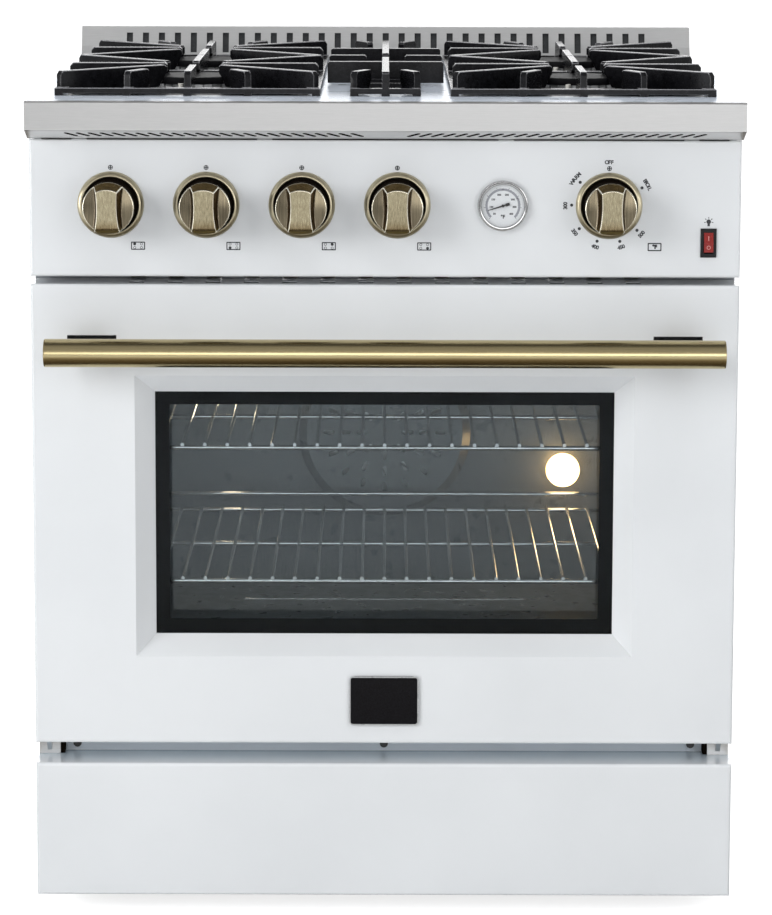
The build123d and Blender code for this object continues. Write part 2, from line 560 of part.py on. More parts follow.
def rack_guide(side):
    """A side ladder: uprights against the cavity wall, and a rail under each rack."""
    x = side * (CAVITY_WIDTH / 2 - GUIDE_RADIUS - 0.5)
    rail_x = side * (RACK_WIDTH / 2 - RACK_BAR_RADIUS)
    low, high = CAVITY_FLOOR + 30, CAVITY_TOP - 60
    with BuildPart() as guide:
        for y in GUIDE_Y:
            rod((x, y, (low + high) / 2), GUIDE_RADIUS, high - low)
        for z in (low + 6, high - 6):
            rod((x, sum(GUIDE_Y) / 2, z), GUIDE_RADIUS, GUIDE_Y[1] - GUIDE_Y[0] + 10, ALONG_Y)
        for level in RACK_LEVELS:
            z = level - RACK_BAR_RADIUS - GUIDE_RADIUS - FIT
            rod((rail_x, sum(GUIDE_Y) / 2, z), GUIDE_RADIUS, GUIDE_Y[1] - GUIDE_Y[0] + 10, ALONG_Y)
            for y in GUIDE_Y:
                rod(((rail_x + x) / 2, y, z), GUIDE_RADIUS, abs(rail_x - x), ALONG_X)
    return guide.part


with BuildPart() as rack_guides:
    add([rack_guide(-1), rack_guide(1)])
save(rack_guides.part, "rack_guides")

RACK_HALF = RACK_WIDTH / 2 - RACK_BAR_RADIUS
RACK_WIRES = int(2 * RACK_HALF / RACK_WIRE_PITCH)
for level, name in zip(RACK_LEVELS, ("oven_rack_lower", "oven_rack_upper")):
    wire_z = level + RACK_CROSS_RADIUS + RACK_WIRE_RADIUS - 0.9
    guard_z = level + RACK_GUARD_RISE
    mid_y = (RACK_FRONT_Y + RACK_REAR_Y) / 2
    with BuildPart() as rack:
        for x in (-RACK_HALF, RACK_HALF):
            rod((x, mid_y, level), RACK_BAR_RADIUS, RACK_DEPTH + 4 * RACK_CROSS_RADIUS, ALONG_Y)
            rod((x, RACK_REAR_Y, (level + guard_z) / 2), RACK_POST_RADIUS, RACK_GUARD_RISE)
        for y in (RACK_FRONT_Y, mid_y, RACK_REAR_Y):
            rod((0, y, level), RACK_CROSS_RADIUS, 2 * RACK_HALF + 1, ALONG_X)
        guard_length = 2 * RACK_HALF + 4 * RACK_CROSS_RADIUS
        rod((0, RACK_REAR_Y, guard_z), RACK_CROSS_RADIUS, guard_length, ALONG_X)
        with Locations((0, mid_y, wire_z)):
            with GridLocations(RACK_WIRE_PITCH, 1, RACK_WIRES, 1):
                Cylinder(RACK_WIRE_RADIUS, RACK_DEPTH + 9, rotation=ALONG_Y)
    save(rack.part, name)

# ---------------------------------------------------------------- cooktop
TRIM_TOP_FLANGE = 14.0
PAN_FRONT_Y = TRIM_Y + TRIM_TOP_FLANGE
IGNITER_RADIUS = 3.0
IGNITER_OFFSET = (-12.0, -52.0)
with BuildPart() as cooktop_pan:
    block((-HALF, HALF), (PAN_FRONT_Y, REAR_Y), (COOKTOP_HEIGHT - PAN_SKIRT, COOKTOP_HEIGHT))
    cut_block((-HALF + SHEET, HALF - SHEET), (PAN_FRONT_Y + SHEET, REAR_Y - SHEET),
              (COOKTOP_HEIGHT - PAN_SKIRT, COOKTOP_HEIGHT - SHEET))
    for x, y in BURNERS.values():
        rod((x, y, COOKTOP_HEIGHT), BURNER_THROAT_RADIUS + FIT, 10, mode=Mode.SUBTRACT)
        rod((x + IGNITER_OFFSET[0], y + IGNITER_OFFSET[1], COOKTOP_HEIGHT), IGNITER_RADIUS + FIT, 10,
            mode=Mode.SUBTRACT)
save(cooktop_pan.part, "cooktop_pan")

LIP_SLOT = (17.0, 2.6)
LIP_SLOT_PITCH = 12.6
LIP_SLOTS_PER_SIDE = 25
LIP_SLOT_MIDDLE = 181.0
LIP_ANGLE = degrees(atan2(TRIM_LIP_DROP, TRIM_OVERHANG))
LIP_BOTTOM = TRIM_FACE_BOTTOM - TRIM_LIP_DROP
TRIM_HALF = TRIM_WIDTH / 2
with BuildPart() as front_trim:
    with BuildSketch(Plane.YZ.offset(-TRIM_HALF)):
        with BuildLine():
            Polyline(
                (TRIM_Y, COOKTOP_HEIGHT), (TRIM_Y, TRIM_FACE_BOTTOM), (FACE_Y, LIP_BOTTOM),
                (FACE_Y + SHEET, LIP_BOTTOM), (FACE_Y + SHEET, LIP_BOTTOM + 8),
                (PAN_FRONT_Y, COOKTOP_HEIGHT - PAN_SKIRT), (PAN_FRONT_Y, COOKTOP_HEIGHT), close=True,
            )
        make_face()
    extrude(amount=TRIM_WIDTH)
    fillet(front_trim.edges().filter_by(Axis.X).group_by(Axis.Z)[-1].sort_by(Axis.Y)[0], 1.5)
    with BuildSketch(Plane.YZ.offset(-TRIM_HALF + SHEET)):
        with BuildLine():
            Polyline(
                (TRIM_Y + SHEET, COOKTOP_HEIGHT - SHEET),
                (TRIM_Y + SHEET, TRIM_FACE_BOTTOM + SHEET * 0.7),
                (FACE_Y, LIP_BOTTOM + SHEET), (FACE_Y, LIP_BOTTOM + 9),
                (PAN_FRONT_Y + 1, COOKTOP_HEIGHT - PAN_SKIRT - 1),
                (PAN_FRONT_Y + 1, COOKTOP_HEIGHT - SHEET), close=True,
            )
        make_face()
    extrude(amount=TRIM_WIDTH - 2 * SHEET, mode=Mode.SUBTRACT)
    lip_plane = Plane(
        origin=(0, (TRIM_Y + FACE_Y) / 2, (TRIM_FACE_BOTTOM + LIP_BOTTOM) / 2),
        x_dir=(1, 0, 0),
        z_dir=(0, -sin(radians(LIP_ANGLE)), -cos(radians(LIP_ANGLE))),
    )
    with BuildSketch(lip_plane):
        for side in (-1, 1):
            with Locations((side * LIP_SLOT_MIDDLE, 0)):
                with GridLocations(LIP_SLOT_PITCH, 1, LIP_SLOTS_PER_SIDE, 1):
                    SlotOverall(*LIP_SLOT, rotation=side * 45)
    extrude(amount=2 * SHEET, both=True, mode=Mode.SUBTRACT)
save(front_trim.part, "front_trim")

BACKGUARD_TOP = COOKTOP_HEIGHT + BACKGUARD_HEIGHT
BACKGUARD_BEND = (8.0, 15.0)     # back and up from the foot of the backguard to its bend
BACKGUARD_SLOT_HEIGHT = 20.0
with BuildPart() as backguard:
    profile = [
        (BACKGUARD_Y, COOKTOP_HEIGHT),
        (BACKGUARD_Y + BACKGUARD_BEND[0], COOKTOP_HEIGHT + BACKGUARD_BEND[1]),
        (BACKGUARD_Y + BACKGUARD_LEAN, BACKGUARD_TOP),
        (REAR_Y, BACKGUARD_TOP),
        (REAR_Y, COOKTOP_HEIGHT),
    ]
    with BuildSketch(Plane.YZ.offset(-TRIM_HALF)):
        with BuildLine():
            Polyline(*profile, close=True)
        make_face()
    extrude(amount=TRIM_WIDTH)
    with BuildSketch(Plane.YZ.offset(-TRIM_HALF + SHEET)):
        with BuildLine():
            Polyline(
                (profile[0][0] + 1.4 * SHEET, COOKTOP_HEIGHT),
                (profile[1][0] + 1.2 * SHEET, profile[1][1]),
                (profile[2][0] + SHEET, BACKGUARD_TOP - SHEET),
                (REAR_Y - SHEET, BACKGUARD_TOP - SHEET),
                (REAR_Y - SHEET, COOKTOP_HEIGHT), close=True,
            )
        make_face()
    extrude(amount=TRIM_WIDTH - 2 * SHEET, mode=Mode.SUBTRACT)
    with BuildSketch(front_plane(BACKGUARD_Y - 1)):
        with Locations((0, COOKTOP_HEIGHT + BACKGUARD_SLOT_HEIGHT)):
            with GridLocations(BACKGUARD_SLOT_PITCH, 1, BACKGUARD_SLOTS, 1):
                Rectangle(*BACKGUARD_SLOT)
    extrude(amount=-BACKGUARD_LEAN - 4, mode=Mode.SUBTRACT)
save(backguard.part, "backguard")

HEAD_FLANGE = BURNER_HEAD_TOP
THROAT_DROP = 34.0
with BuildPart() as burner_heads:
    for x, y in BURNERS.values():
        rod((x, y, COOKTOP_HEIGHT + HEAD_FLANGE / 2), BURNER_HEAD_RADIUS, HEAD_FLANGE)
        rod((x, y, COOKTOP_HEIGHT - THROAT_DROP / 2), BURNER_THROAT_RADIUS, THROAT_DROP)
        rod((x, y, COOKTOP_HEIGHT - THROAT_DROP), TUBE_RADIUS, 2 * THROAT_DROP, mode=Mode.SUBTRACT)
        with BuildSketch(Plane.XY.offset(COOKTOP_HEIGHT + HEAD_FLANGE)):
            with Locations((x, y)):
                with PolarLocations(BURNER_HEAD_RADIUS, BURNER_PORTS):
                    Rectangle(8, 3.2)
        extrude(amount=-HEAD_FLANGE + 1.5, mode=Mode.SUBTRACT)
save(burner_heads.part, "burner_heads")

with BuildPart() as burner_caps:
    for x, y in BURNERS.values():
        middle = COOKTOP_HEIGHT + (BURNER_HEAD_TOP + CAP_TOP) / 2
        rod((x, y, middle), CAP_RADIUS, CAP_TOP - BURNER_HEAD_TOP)
    cap_tops = burner_caps.faces().filter_by(Axis.Z).group_by(Axis.Z)[-1]
    fillet(cap_tops.edges(), 4.5)
save(burner_caps.part, "burner_caps")

with BuildPart() as igniters:
    for x, y in BURNERS.values():
        tip = (x + IGNITER_OFFSET[0], y + IGNITER_OFFSET[1], COOKTOP_HEIGHT - 8)
        rod(tip, IGNITER_RADIUS, 30)
        rod((tip[0], tip[1], COOKTOP_HEIGHT - SHEET - 3), IGNITER_RADIUS + 3, 6)
save(igniters.part, "igniters")

# ---------------------------------------------------------------- grates
FINGER_UNDER = CAP_TOP + 2.5      # underside of a finger over the cap
FINGER_CLEAR = CAP_RADIUS + 6     # where the underside starts to drop


def finger(start, toward, tip_distance):
    """A cast finger from the frame towards a point, stopping tip_distance short of it."""
    dx, dy = toward[0] - start[0], toward[1] - start[1]
    span = hypot(dx, dy)
    direction = (dx / span, dy / span, 0)
    normal = (dy / span, -dx / span, 0)
    length = span - tip_distance
    step = max(min(span - FINGER_CLEAR, length - 4), 8)
    low_end = FINGER_UNDER if tip_distance < CAP_RADIUS else GRATE_RAIL_BOTTOM + 6
    plane = Plane(origin=(start[0], start[1], COOKTOP_HEIGHT), x_dir=direction, z_dir=normal)
    with BuildSketch(plane) as outline:
        with BuildLine():
            Polyline(
                (0, GRATE_RAIL_BOTTOM), (step, GRATE_RAIL_BOTTOM), (min(step + 9, length), low_end),
                (length, low_end + 1), (length, GRATE_TOP - 2), (length - 2, GRATE_TOP),
                (3, GRATE_TOP), (0, GRATE_TOP - 4), close=True,
            )
        make_face()
    extrude(outline.sketch, amount=GRATE_FINGER / 2, both=True)


def upright(start, end):
    """A straight full-height plate between two points of a grate."""
    dx, dy = end[0] - start[0], end[1] - start[1]
    span = hypot(dx, dy)
    plane = Plane(origin=(start[0], start[1], COOKTOP_HEIGHT), x_dir=(dx / span, dy / span, 0),
                  z_dir=(dy / span, -dx / span, 0))
    with BuildSketch(plane) as outline:
        with BuildLine():
            Polyline(
                (0, GRATE_RAIL_BOTTOM), (span, GRATE_RAIL_BOTTOM), (span, GRATE_TOP - 2),
                (span - 2, GRATE_TOP), (2, GRATE_TOP), (0, GRATE_TOP - 2), close=True,
            )
        make_face()
    extrude(outline.sketch, amount=GRATE_FINGER / 2, both=True)


def rail(x, y):
    """A low frame bar given by its (low, high) limits in plan."""
    block(x, y, (COOKTOP_HEIGHT + GRATE_RAIL_BOTTOM, COOKTOP_HEIGHT + GRATE_RAIL_TOP))


def feet(places):
    """Legs from the cooktop up into the frame bars."""
    for x, y in places:
        block((x - GRATE_RAIL_WIDTH / 2, x + GRATE_RAIL_WIDTH / 2),
              (y - GRATE_RAIL_WIDTH / 2, y + GRATE_RAIL_WIDTH / 2),
              (COOKTOP_HEIGHT + GRATE_REST, COOKTOP_HEIGHT + GRATE_RAIL_BOTTOM + 1))


def side_grate(side):
    """One of the two wide grates, each over a front and a rear burner."""
    low_x, high_x = sorted((side * GRATE_OUTER_X, side * GRATE_INNER_X))
    x = side * BURNER_X
    w = GRATE_RAIL_WIDTH
    edge = w / 2
    with BuildPart() as grate:
        for y in (GRATE_FRONT_Y, GRATE_REAR_Y - w):
            rail((low_x, high_x), (y, y + w))
        rail((low_x, high_x), (GRATE_MID_Y - edge, GRATE_MID_Y + edge))
        for x0 in (low_x, high_x - w):
            rail((x0, x0 + w), (GRATE_FRONT_Y, GRATE_REAR_Y))
        for burner_y, outer_y in ((BURNER_FRONT_Y, GRATE_FRONT_Y + edge),
                                  (BURNER_REAR_Y, GRATE_REAR_Y - edge)):
            burner = (x, burner_y)
            finger((low_x + edge, burner_y), burner, FINGER_TIP)
            finger((high_x - edge, burner_y), burner, FINGER_TIP)
            finger((x, outer_y), burner, FINGER_TIP)
            finger((x, GRATE_MID_Y), burner, FINGER_TIP)
            for corner_x in (low_x + edge, high_x - edge):
                for corner_y in (outer_y, GRATE_MID_Y):
                    finger((corner_x, corner_y), burner, DIAGONAL_TIP)
            for offset in (-SIDE_FINGER_OFFSET, SIDE_FINGER_OFFSET):
                reach = hypot(offset, outer_y - burner_y)
                finger((x + offset, outer_y), burner, reach - SIDE_FINGER_LENGTH)
        corners = [(cx, cy) for cx in (low_x + edge, high_x - edge)
                   for cy in (GRATE_FRONT_Y + edge, GRATE_MID_Y, GRATE_REAR_Y - edge)]
        front_legs = [(x + dx, GRATE_FRONT_Y + edge)
                      for dx in (-SIDE_FINGER_OFFSET, 0, SIDE_FINGER_OFFSET)]
        feet(corners + front_legs)
    return grate.part


for side, name in ((-1, "grate_left"), (1, "grate_right")):
    save(side_grate(side), name)

with BuildPart() as grate_center:
    w = GRATE_RAIL_WIDTH
    half = CENTER_GRATE_HALF
    spine_gap = 30.0
    plates_y = (BURNER_FRONT_Y + CENTER_PLATE_SETBACK, BURNER_REAR_Y - CENTER_PLATE_SETBACK / 2)
    for y in (GRATE_FRONT_Y, BURNER_FRONT_Y - 62, BURNER_FRONT_Y, GRATE_MID_Y - w / 2,
              GRATE_REAR_Y - w):
        rail((-half, half), (y, y + w))
    for x0 in (-half, half - w):
        rail((x0, x0 + w), (GRATE_FRONT_Y, GRATE_REAR_Y))
    upright((0, GRATE_FRONT_Y), (0, GRATE_MID_Y - spine_gap))
    upright((0, GRATE_MID_Y + spine_gap), (0, GRATE_REAR_Y))
    for y in plates_y:
        upright((-CENTER_PLATE_HALF, y), (CENTER_PLATE_HALF, y))
    for side in (-1, 1):
        upright((side * CENTER_PLATE_HALF, GRATE_MID_Y), (side * 22, GRATE_MID_Y))
        post_x = side * (half - GRATE_FINGER / 2)
        for y, inward in ((GRATE_FRONT_Y + w / 2, 1), (GRATE_REAR_Y - w / 2, -1)):
            finger((post_x, y), (0, y + inward * 2 * half), 1.2 * half)
    feet([(x0, y) for x0 in (w / 2 - half, 0, half - w / 2)
          for y in (GRATE_FRONT_Y + w / 2, GRATE_MID_Y, GRATE_REAR_Y - w / 2)])
save(grate_center.part, "grate_center")

# ---------------------------------------------------------------- control panel
CUP_WALL = 1.5
KNOB_BACK_Y = FACE_Y + 1.0
SPINDLE_TIP_Y = KNOB_BACK_Y - 18
THERMOMETER_BODY = 21.0
SWITCH_BODY = (SWITCH_SIZE[0] - 2.5, SWITCH_SIZE[1] - 2.5)
with BuildPart() as control_panel:
    add(front_tray(BODY_WIDTH, PANEL_HEIGHT, PANEL_BOTTOM, FRONT_RETURN))
    with BuildSketch(front_plane(FACE_Y - 1)):
        with Locations(*((x, KNOB_HEIGHT) for x in KNOB_X.values())):
            Circle(BEZEL_BORE + CUP_WALL + FIT)
        with Locations((THERMOMETER_X, KNOB_HEIGHT)):
            Circle(THERMOMETER_BODY + FIT)
        with Locations((SWITCH_X, SWITCH_HEIGHT)):
            Rectangle(SWITCH_BODY[0] + 2 * FIT, SWITCH_BODY[1] + 2 * FIT)
    extrude(amount=-SHEET - 2, mode=Mode.SUBTRACT)
save(control_panel.part, "control_panel")

with BuildPart() as knob_bezels:
    for x in KNOB_X.values():
        with BuildSketch(front_plane(FACE_Y)):
            with Locations((x, KNOB_HEIGHT)):
                Circle(BEZEL_RADIUS)
                Circle(BEZEL_BORE, mode=Mode.SUBTRACT)
        extrude(amount=BEZEL_PROUD)
    front_edges = knob_bezels.faces().filter_by(Axis.Y).group_by(Axis.Y)[0].edges()
    fillet(front_edges.group_by(SortBy.RADIUS)[-1], 4.0)
    front_edges = knob_bezels.edges().filter_by(GeomType.CIRCLE).group_by(Axis.Y)[0]
    fillet(front_edges.group_by(SortBy.RADIUS)[0], 1.5)
    for x in KNOB_X.values():
        with BuildSketch(front_plane(FACE_Y)):
            with Locations((x, KNOB_HEIGHT)):
                Circle(BEZEL_BORE + CUP_WALL)
        extrude(amount=-BEZEL_CUP_DEPTH)
        rod((x, FACE_Y + (BEZEL_CUP_DEPTH - CUP_WALL - BEZEL_PROUD) / 2, KNOB_HEIGHT), BEZEL_BORE,
            BEZEL_CUP_DEPTH - CUP_WALL + BEZEL_PROUD, ALONG_Y, Mode.SUBTRACT)
        rod((x, FACE_Y + BEZEL_CUP_DEPTH, KNOB_HEIGHT), VALVE_PLUG_RADIUS, 4 * CUP_WALL, ALONG_Y,
            Mode.SUBTRACT)
save(knob_bezels.part, "knob_bezels")


def d_profile(x, radius):
    """The D section of a knob spindle, its flat downwards."""
    with Locations((x, KNOB_HEIGHT)):
        Circle(radius)
    with Locations((x, KNOB_HEIGHT - 1.6 * radius)):
        Rectangle(3 * radius, 2 * radius, mode=Mode.SUBTRACT)


def waisted_block():
    """The waist of the grip: hollow sides that lean in towards the face."""
    rise = KNOB_LENGTH - KNOB_SKIRT_LENGTH
    lean = degrees(atan2((KNOB_WAIST_FOOT - KNOB_WAIST_FACE) / 2, rise))
    hollow_x = KNOB_WAIST_FOOT / 2 + KNOB_WAIST_RADIUS
    with BuildPart() as block_part:
        with BuildSketch(front_plane(FACE_Y - KNOB_SKIRT_LENGTH)) as outline:
            with Locations((0, KNOB_HEIGHT)):
                Rectangle(2 * KNOB_RADIUS, 3 * KNOB_RADIUS)
            with Locations((-hollow_x, KNOB_HEIGHT), (hollow_x, KNOB_HEIGHT)):
                Circle(KNOB_WAIST_RADIUS, mode=Mode.SUBTRACT)
        extrude(outline.sketch, amount=rise, taper=lean)
    return block_part.part


def knob_grip():
    """A waisted grip that rolls down at its foot and is blunt at its head."""
    skirt_y = FACE_Y - KNOB_SKIRT_LENGTH
    grip_y = FACE_Y - KNOB_LENGTH
    shoulder_y = FACE_Y - KNOB_GRIP_SHOULDER
    bottom = KNOB_HEIGHT - KNOB_RADIUS
    head = KNOB_HEIGHT + KNOB_GRIP_TOP_RADIUS
    with BuildPart() as grip:
        with BuildSketch(Plane.YZ):
            with BuildLine():
                Polyline((skirt_y, KNOB_HEIGHT), (skirt_y, KNOB_HEIGHT + KNOB_RADIUS),
                         (grip_y, head), (grip_y, KNOB_HEIGHT), close=True)
            make_face()
        revolve(axis=Axis((0, 0, KNOB_HEIGHT), (0, 1, 0)))
        add(waisted_block(), mode=Mode.INTERSECT)
        with BuildSketch(Plane.YZ.offset(-KNOB_RADIUS)):
            with BuildLine():
                ThreePointArc((skirt_y + 0.5, bottom - 0.5), (shoulder_y + 5, bottom + 4.5),
                              (shoulder_y, bottom + 13))
                Polyline((shoulder_y, bottom + 13), (grip_y, head), (grip_y - 9, head),
                         (grip_y - 9, bottom - 0.5), (skirt_y + 0.5, bottom - 0.5))
            make_face()
        extrude(amount=2 * KNOB_RADIUS, mode=Mode.SUBTRACT)
    return grip.part


def control_knob():
    """A round hollow skirt with its grip, bored for the spindle."""
    skirt_y = FACE_Y - KNOB_SKIRT_LENGTH
    with BuildPart() as knob:
        rod((0, (KNOB_BACK_Y + skirt_y) / 2, KNOB_HEIGHT), KNOB_RADIUS, KNOB_BACK_Y - skirt_y, ALONG_Y)
        add(knob_grip())
        with BuildSketch(front_plane(KNOB_BACK_Y)) as hollow:
            with Locations((0, KNOB_HEIGHT)):
                Circle(KNOB_RADIUS - KNOB_WALL)
                Circle(KNOB_BOSS_RADIUS, mode=Mode.SUBTRACT)
        extrude(hollow.sketch, amount=KNOB_BACK_Y - skirt_y - KNOB_WALL, mode=Mode.SUBTRACT)
        with BuildSketch(front_plane(KNOB_BACK_Y)) as bore:
            d_profile(0, SPINDLE_RADIUS + SHAFT_FIT)
        extrude(bore.sketch, amount=KNOB_BACK_Y - SPINDLE_TIP_Y + KNOB_PRESS + 1, mode=Mode.SUBTRACT)
    return knob.part


def valve_spindle(x):
    """The turning plug of a gas valve with its D-shaped stem."""
    with BuildPart() as spindle:
        with BuildSketch(front_plane(VALVE_Y[0] - 1)):
            d_profile(x, SPINDLE_RADIUS)
        extrude(amount=VALVE_Y[0] - 1 - SPINDLE_TIP_Y)
        rod((x, VALVE_Y[0] + 0.5, KNOB_HEIGHT), SPINDLE_RADIUS, 3, ALONG_Y)
        rod((x, VALVE_Y[0] + 2 + VALVE_PLUG_LENGTH / 2, KNOB_HEIGHT), VALVE_PLUG_RADIUS,
            VALVE_PLUG_LENGTH, ALONG_Y)
    return spindle.part


knob = control_knob()
for knob_name, knob_x in KNOB_X.items():
    save(knob.moved(Location((knob_x, 0, 0))), f"knob_{knob_name}")
    save(valve_spindle(knob_x), f"spindle_{knob_name}")

with BuildPart() as gas_valves:
    for x in KNOB_X.values():
        block((x - VALVE_SIZE[0] / 2, x + VALVE_SIZE[0] / 2), VALVE_Y,
              (KNOB_HEIGHT - VALVE_SIZE[2] / 2, KNOB_HEIGHT + VALVE_SIZE[2] / 2))
        rod((x, VALVE_Y[0] + 2 + VALVE_PLUG_LENGTH / 2, KNOB_HEIGHT), VALVE_PLUG_RADIUS + SHAFT_FIT,
            VALVE_PLUG_LENGTH + 2 * FIT, ALONG_Y, Mode.SUBTRACT)
        rod((x, VALVE_Y[0], KNOB_HEIGHT), SPINDLE_RADIUS + SHAFT_FIT, 6, ALONG_Y, Mode.SUBTRACT)
save(gas_valves.part, "gas_valves")

MANIFOLD_Y = sum(VALVE_Y) / 2
LINE_REAR_Y = REAR_Y - 45
with BuildPart() as gas_manifold:
    manifold_end = OVEN_KNOB_X + 25
    rod(((manifold_end - GAS_LINE_X) / 2, MANIFOLD_Y, MANIFOLD_Z), MANIFOLD_RADIUS,
        manifold_end + GAS_LINE_X + 2 * MANIFOLD_RADIUS, ALONG_X)
    add(tube_along([(-GAS_LINE_X, MANIFOLD_Y, MANIFOLD_Z), (-GAS_LINE_X, LINE_REAR_Y, MANIFOLD_Z),
                    (-GAS_LINE_X, LINE_REAR_Y, GAS_INLET_HEIGHT),
                    (-GAS_LINE_X, REAR_Y - GAS_INLET_LENGTH + 1, GAS_INLET_HEIGHT)],
                   GAS_LINE_RADIUS, 9))
    rod((-GAS_LINE_X, REAR_Y - GAS_INLET_LENGTH / 2, GAS_INLET_HEIGHT), GAS_INLET_RADIUS,
        GAS_INLET_LENGTH, ALONG_Y)
save(gas_manifold.part, "gas_manifold")

with BuildPart() as burner_tubes:
    for name, (x, y) in BURNERS.items():
        valve_x = KNOB_X[name]
        bend = min(16, abs(x - valve_x) * 0.45)
        top = COOKTOP_HEIGHT - THROAT_DROP
        add(tube_along([(valve_x, VALVE_Y[1], KNOB_HEIGHT), (valve_x, y, KNOB_HEIGHT),
                        (x, y, KNOB_HEIGHT), (x, y, top)], TUBE_RADIUS, bend))
save(burner_tubes.part, "burner_tubes")

DIAL_RECESS = (23.5, 4.0)
NEEDLE_PIVOT = 0.9
with BuildPart() as thermometer_case:
    with BuildSketch(front_plane(FACE_Y)):
        with Locations((THERMOMETER_X, KNOB_HEIGHT)):
            Circle(THERMOMETER_RADIUS)
    extrude(amount=THERMOMETER_PROUD)
    fillet(thermometer_case.faces().sort_by(Axis.Y)[0].edges(), 2.0)
    rod((THERMOMETER_X, FACE_Y + 10, KNOB_HEIGHT), THERMOMETER_BODY, 20, ALONG_Y)
    dial_y = FACE_Y - THERMOMETER_PROUD + DIAL_RECESS[1]
    with BuildSketch(front_plane(dial_y)):
        with Locations((THERMOMETER_X, KNOB_HEIGHT)):
            Circle(DIAL_RECESS[0])
    extrude(amount=DIAL_RECESS[1] + 1, mode=Mode.SUBTRACT)
    rod((THERMOMETER_X, dial_y - 1.2, KNOB_HEIGHT), NEEDLE_PIVOT, 3.0, ALONG_Y)
save(thermometer_case.part, "thermometer_case")

with BuildPart() as thermometer_needle:
    with BuildSketch(front_plane(dial_y - FIT)):
        with Locations((THERMOMETER_X, KNOB_HEIGHT)):
            Circle(3.2)
            Rectangle(NEEDLE_LENGTH, 1.6, rotation=NEEDLE_ANGLE, align=(Align.MIN, Align.CENTER))
            Rectangle(7, 2.6, rotation=NEEDLE_ANGLE + 180, align=(Align.MIN, Align.CENTER))
            Circle(NEEDLE_PIVOT + SHAFT_FIT, mode=Mode.SUBTRACT)
    extrude(amount=1.2)
save(thermometer_needle.part, "thermometer_needle")

ROCKER_GAP = 0.9
ROCKER_PIN_RADIUS = 1.2
ROCKER_PIN_Y = FACE_Y + 3.0
SWITCH_PROUD = 2.0
with BuildPart() as switch_housing:
    block((SWITCH_X - SWITCH_SIZE[0] / 2, SWITCH_X + SWITCH_SIZE[0] / 2),
          (FACE_Y - SWITCH_PROUD, FACE_Y),
          (SWITCH_HEIGHT - SWITCH_SIZE[1] / 2, SWITCH_HEIGHT + SWITCH_SIZE[1] / 2))
    fillet(switch_housing.faces().sort_by(Axis.Y)[0].edges(), 0.8)
    block((SWITCH_X - SWITCH_BODY[0] / 2, SWITCH_X + SWITCH_BODY[0] / 2), (FACE_Y, FACE_Y + 22),
          (SWITCH_HEIGHT - SWITCH_BODY[1] / 2, SWITCH_HEIGHT + SWITCH_BODY[1] / 2))
    well_x = ROCKER_SIZE[0] / 2 + FIT
    well_z = ROCKER_SIZE[1] / 2 + ROCKER_GAP
    cut_block((SWITCH_X - well_x, SWITCH_X + well_x), (FACE_Y - SWITCH_PROUD - 1, FACE_Y + 12),
              (SWITCH_HEIGHT - well_z, SWITCH_HEIGHT + well_z))
    rod((SWITCH_X, ROCKER_PIN_Y, SWITCH_HEIGHT), ROCKER_PIN_RADIUS + SHAFT_FIT, 2 * well_x + 2, ALONG_X,
        Mode.SUBTRACT)
save(switch_housing.part, "switch_housing")

with BuildPart() as switch_rocker:
    half_z = ROCKER_SIZE[1] / 2
    tilt = radians(ROCKER_TRAVEL / 2)
    profile = [(-SWITCH_PROUD - 2.5, 0), (-SWITCH_PROUD - 1.2, half_z), (2.0, half_z), (4.5, half_z * 0.5),
               (4.5, -half_z * 0.5), (2.0, -half_z), (-SWITCH_PROUD - 1.2, -half_z)]
    turned = []
    for dy, dz in profile:
        dy -= ROCKER_PIN_Y - FACE_Y
        turned.append((ROCKER_PIN_Y + dy * cos(tilt) + dz * sin(tilt),
                       SWITCH_HEIGHT - dy * sin(tilt) + dz * cos(tilt)))
    with BuildSketch(Plane.YZ.offset(SWITCH_X - ROCKER_SIZE[0] / 2)):
        with BuildLine():
            Polyline(*turned, close=True)
        make_face()
    extrude(amount=ROCKER_SIZE[0])
    rod((SWITCH_X, ROCKER_PIN_Y, SWITCH_HEIGHT), ROCKER_PIN_RADIUS, ROCKER_SIZE[0] + 2, ALONG_X)
save(switch_rocker.part, "switch_rocker")

# ---------------------------------------------------------------- door
GLASS_Y = FACE_Y + BEVEL + SHEET
INNER_GLASS_Y = DOOR_BACK_Y - SHEET - GLASS
LUG_CLEAR = 0.7
with BuildPart() as bevel_funnel:
    with BuildSketch(front_plane(FACE_Y)) as outer_window:
        with Locations((0, WINDOW_MID_Z)):
            Rectangle(*WINDOW_OUTER)
    with BuildSketch(front_plane(FACE_Y + BEVEL)) as inner_window:
        with Locations((0, WINDOW_MID_Z)):
            Rectangle(*WINDOW_INNER)
    loft()
with BuildPart() as funnel_outside:
    grow = 2 * SHEET * 1.4
    with BuildSketch(front_plane(FACE_Y + SHEET / 2)):
        with Locations((0, WINDOW_MID_Z)):
            Rectangle(WINDOW_OUTER[0] + grow - SHEET, WINDOW_OUTER[1] + grow - SHEET)
    with BuildSketch(front_plane(FACE_Y + BEVEL + SHEET)):
        with Locations((0, WINDOW_MID_Z)):
            Rectangle(WINDOW_INNER[0] + grow - 2 * SHEET, WINDOW_INNER[1] + grow - 2 * SHEET)
    loft()
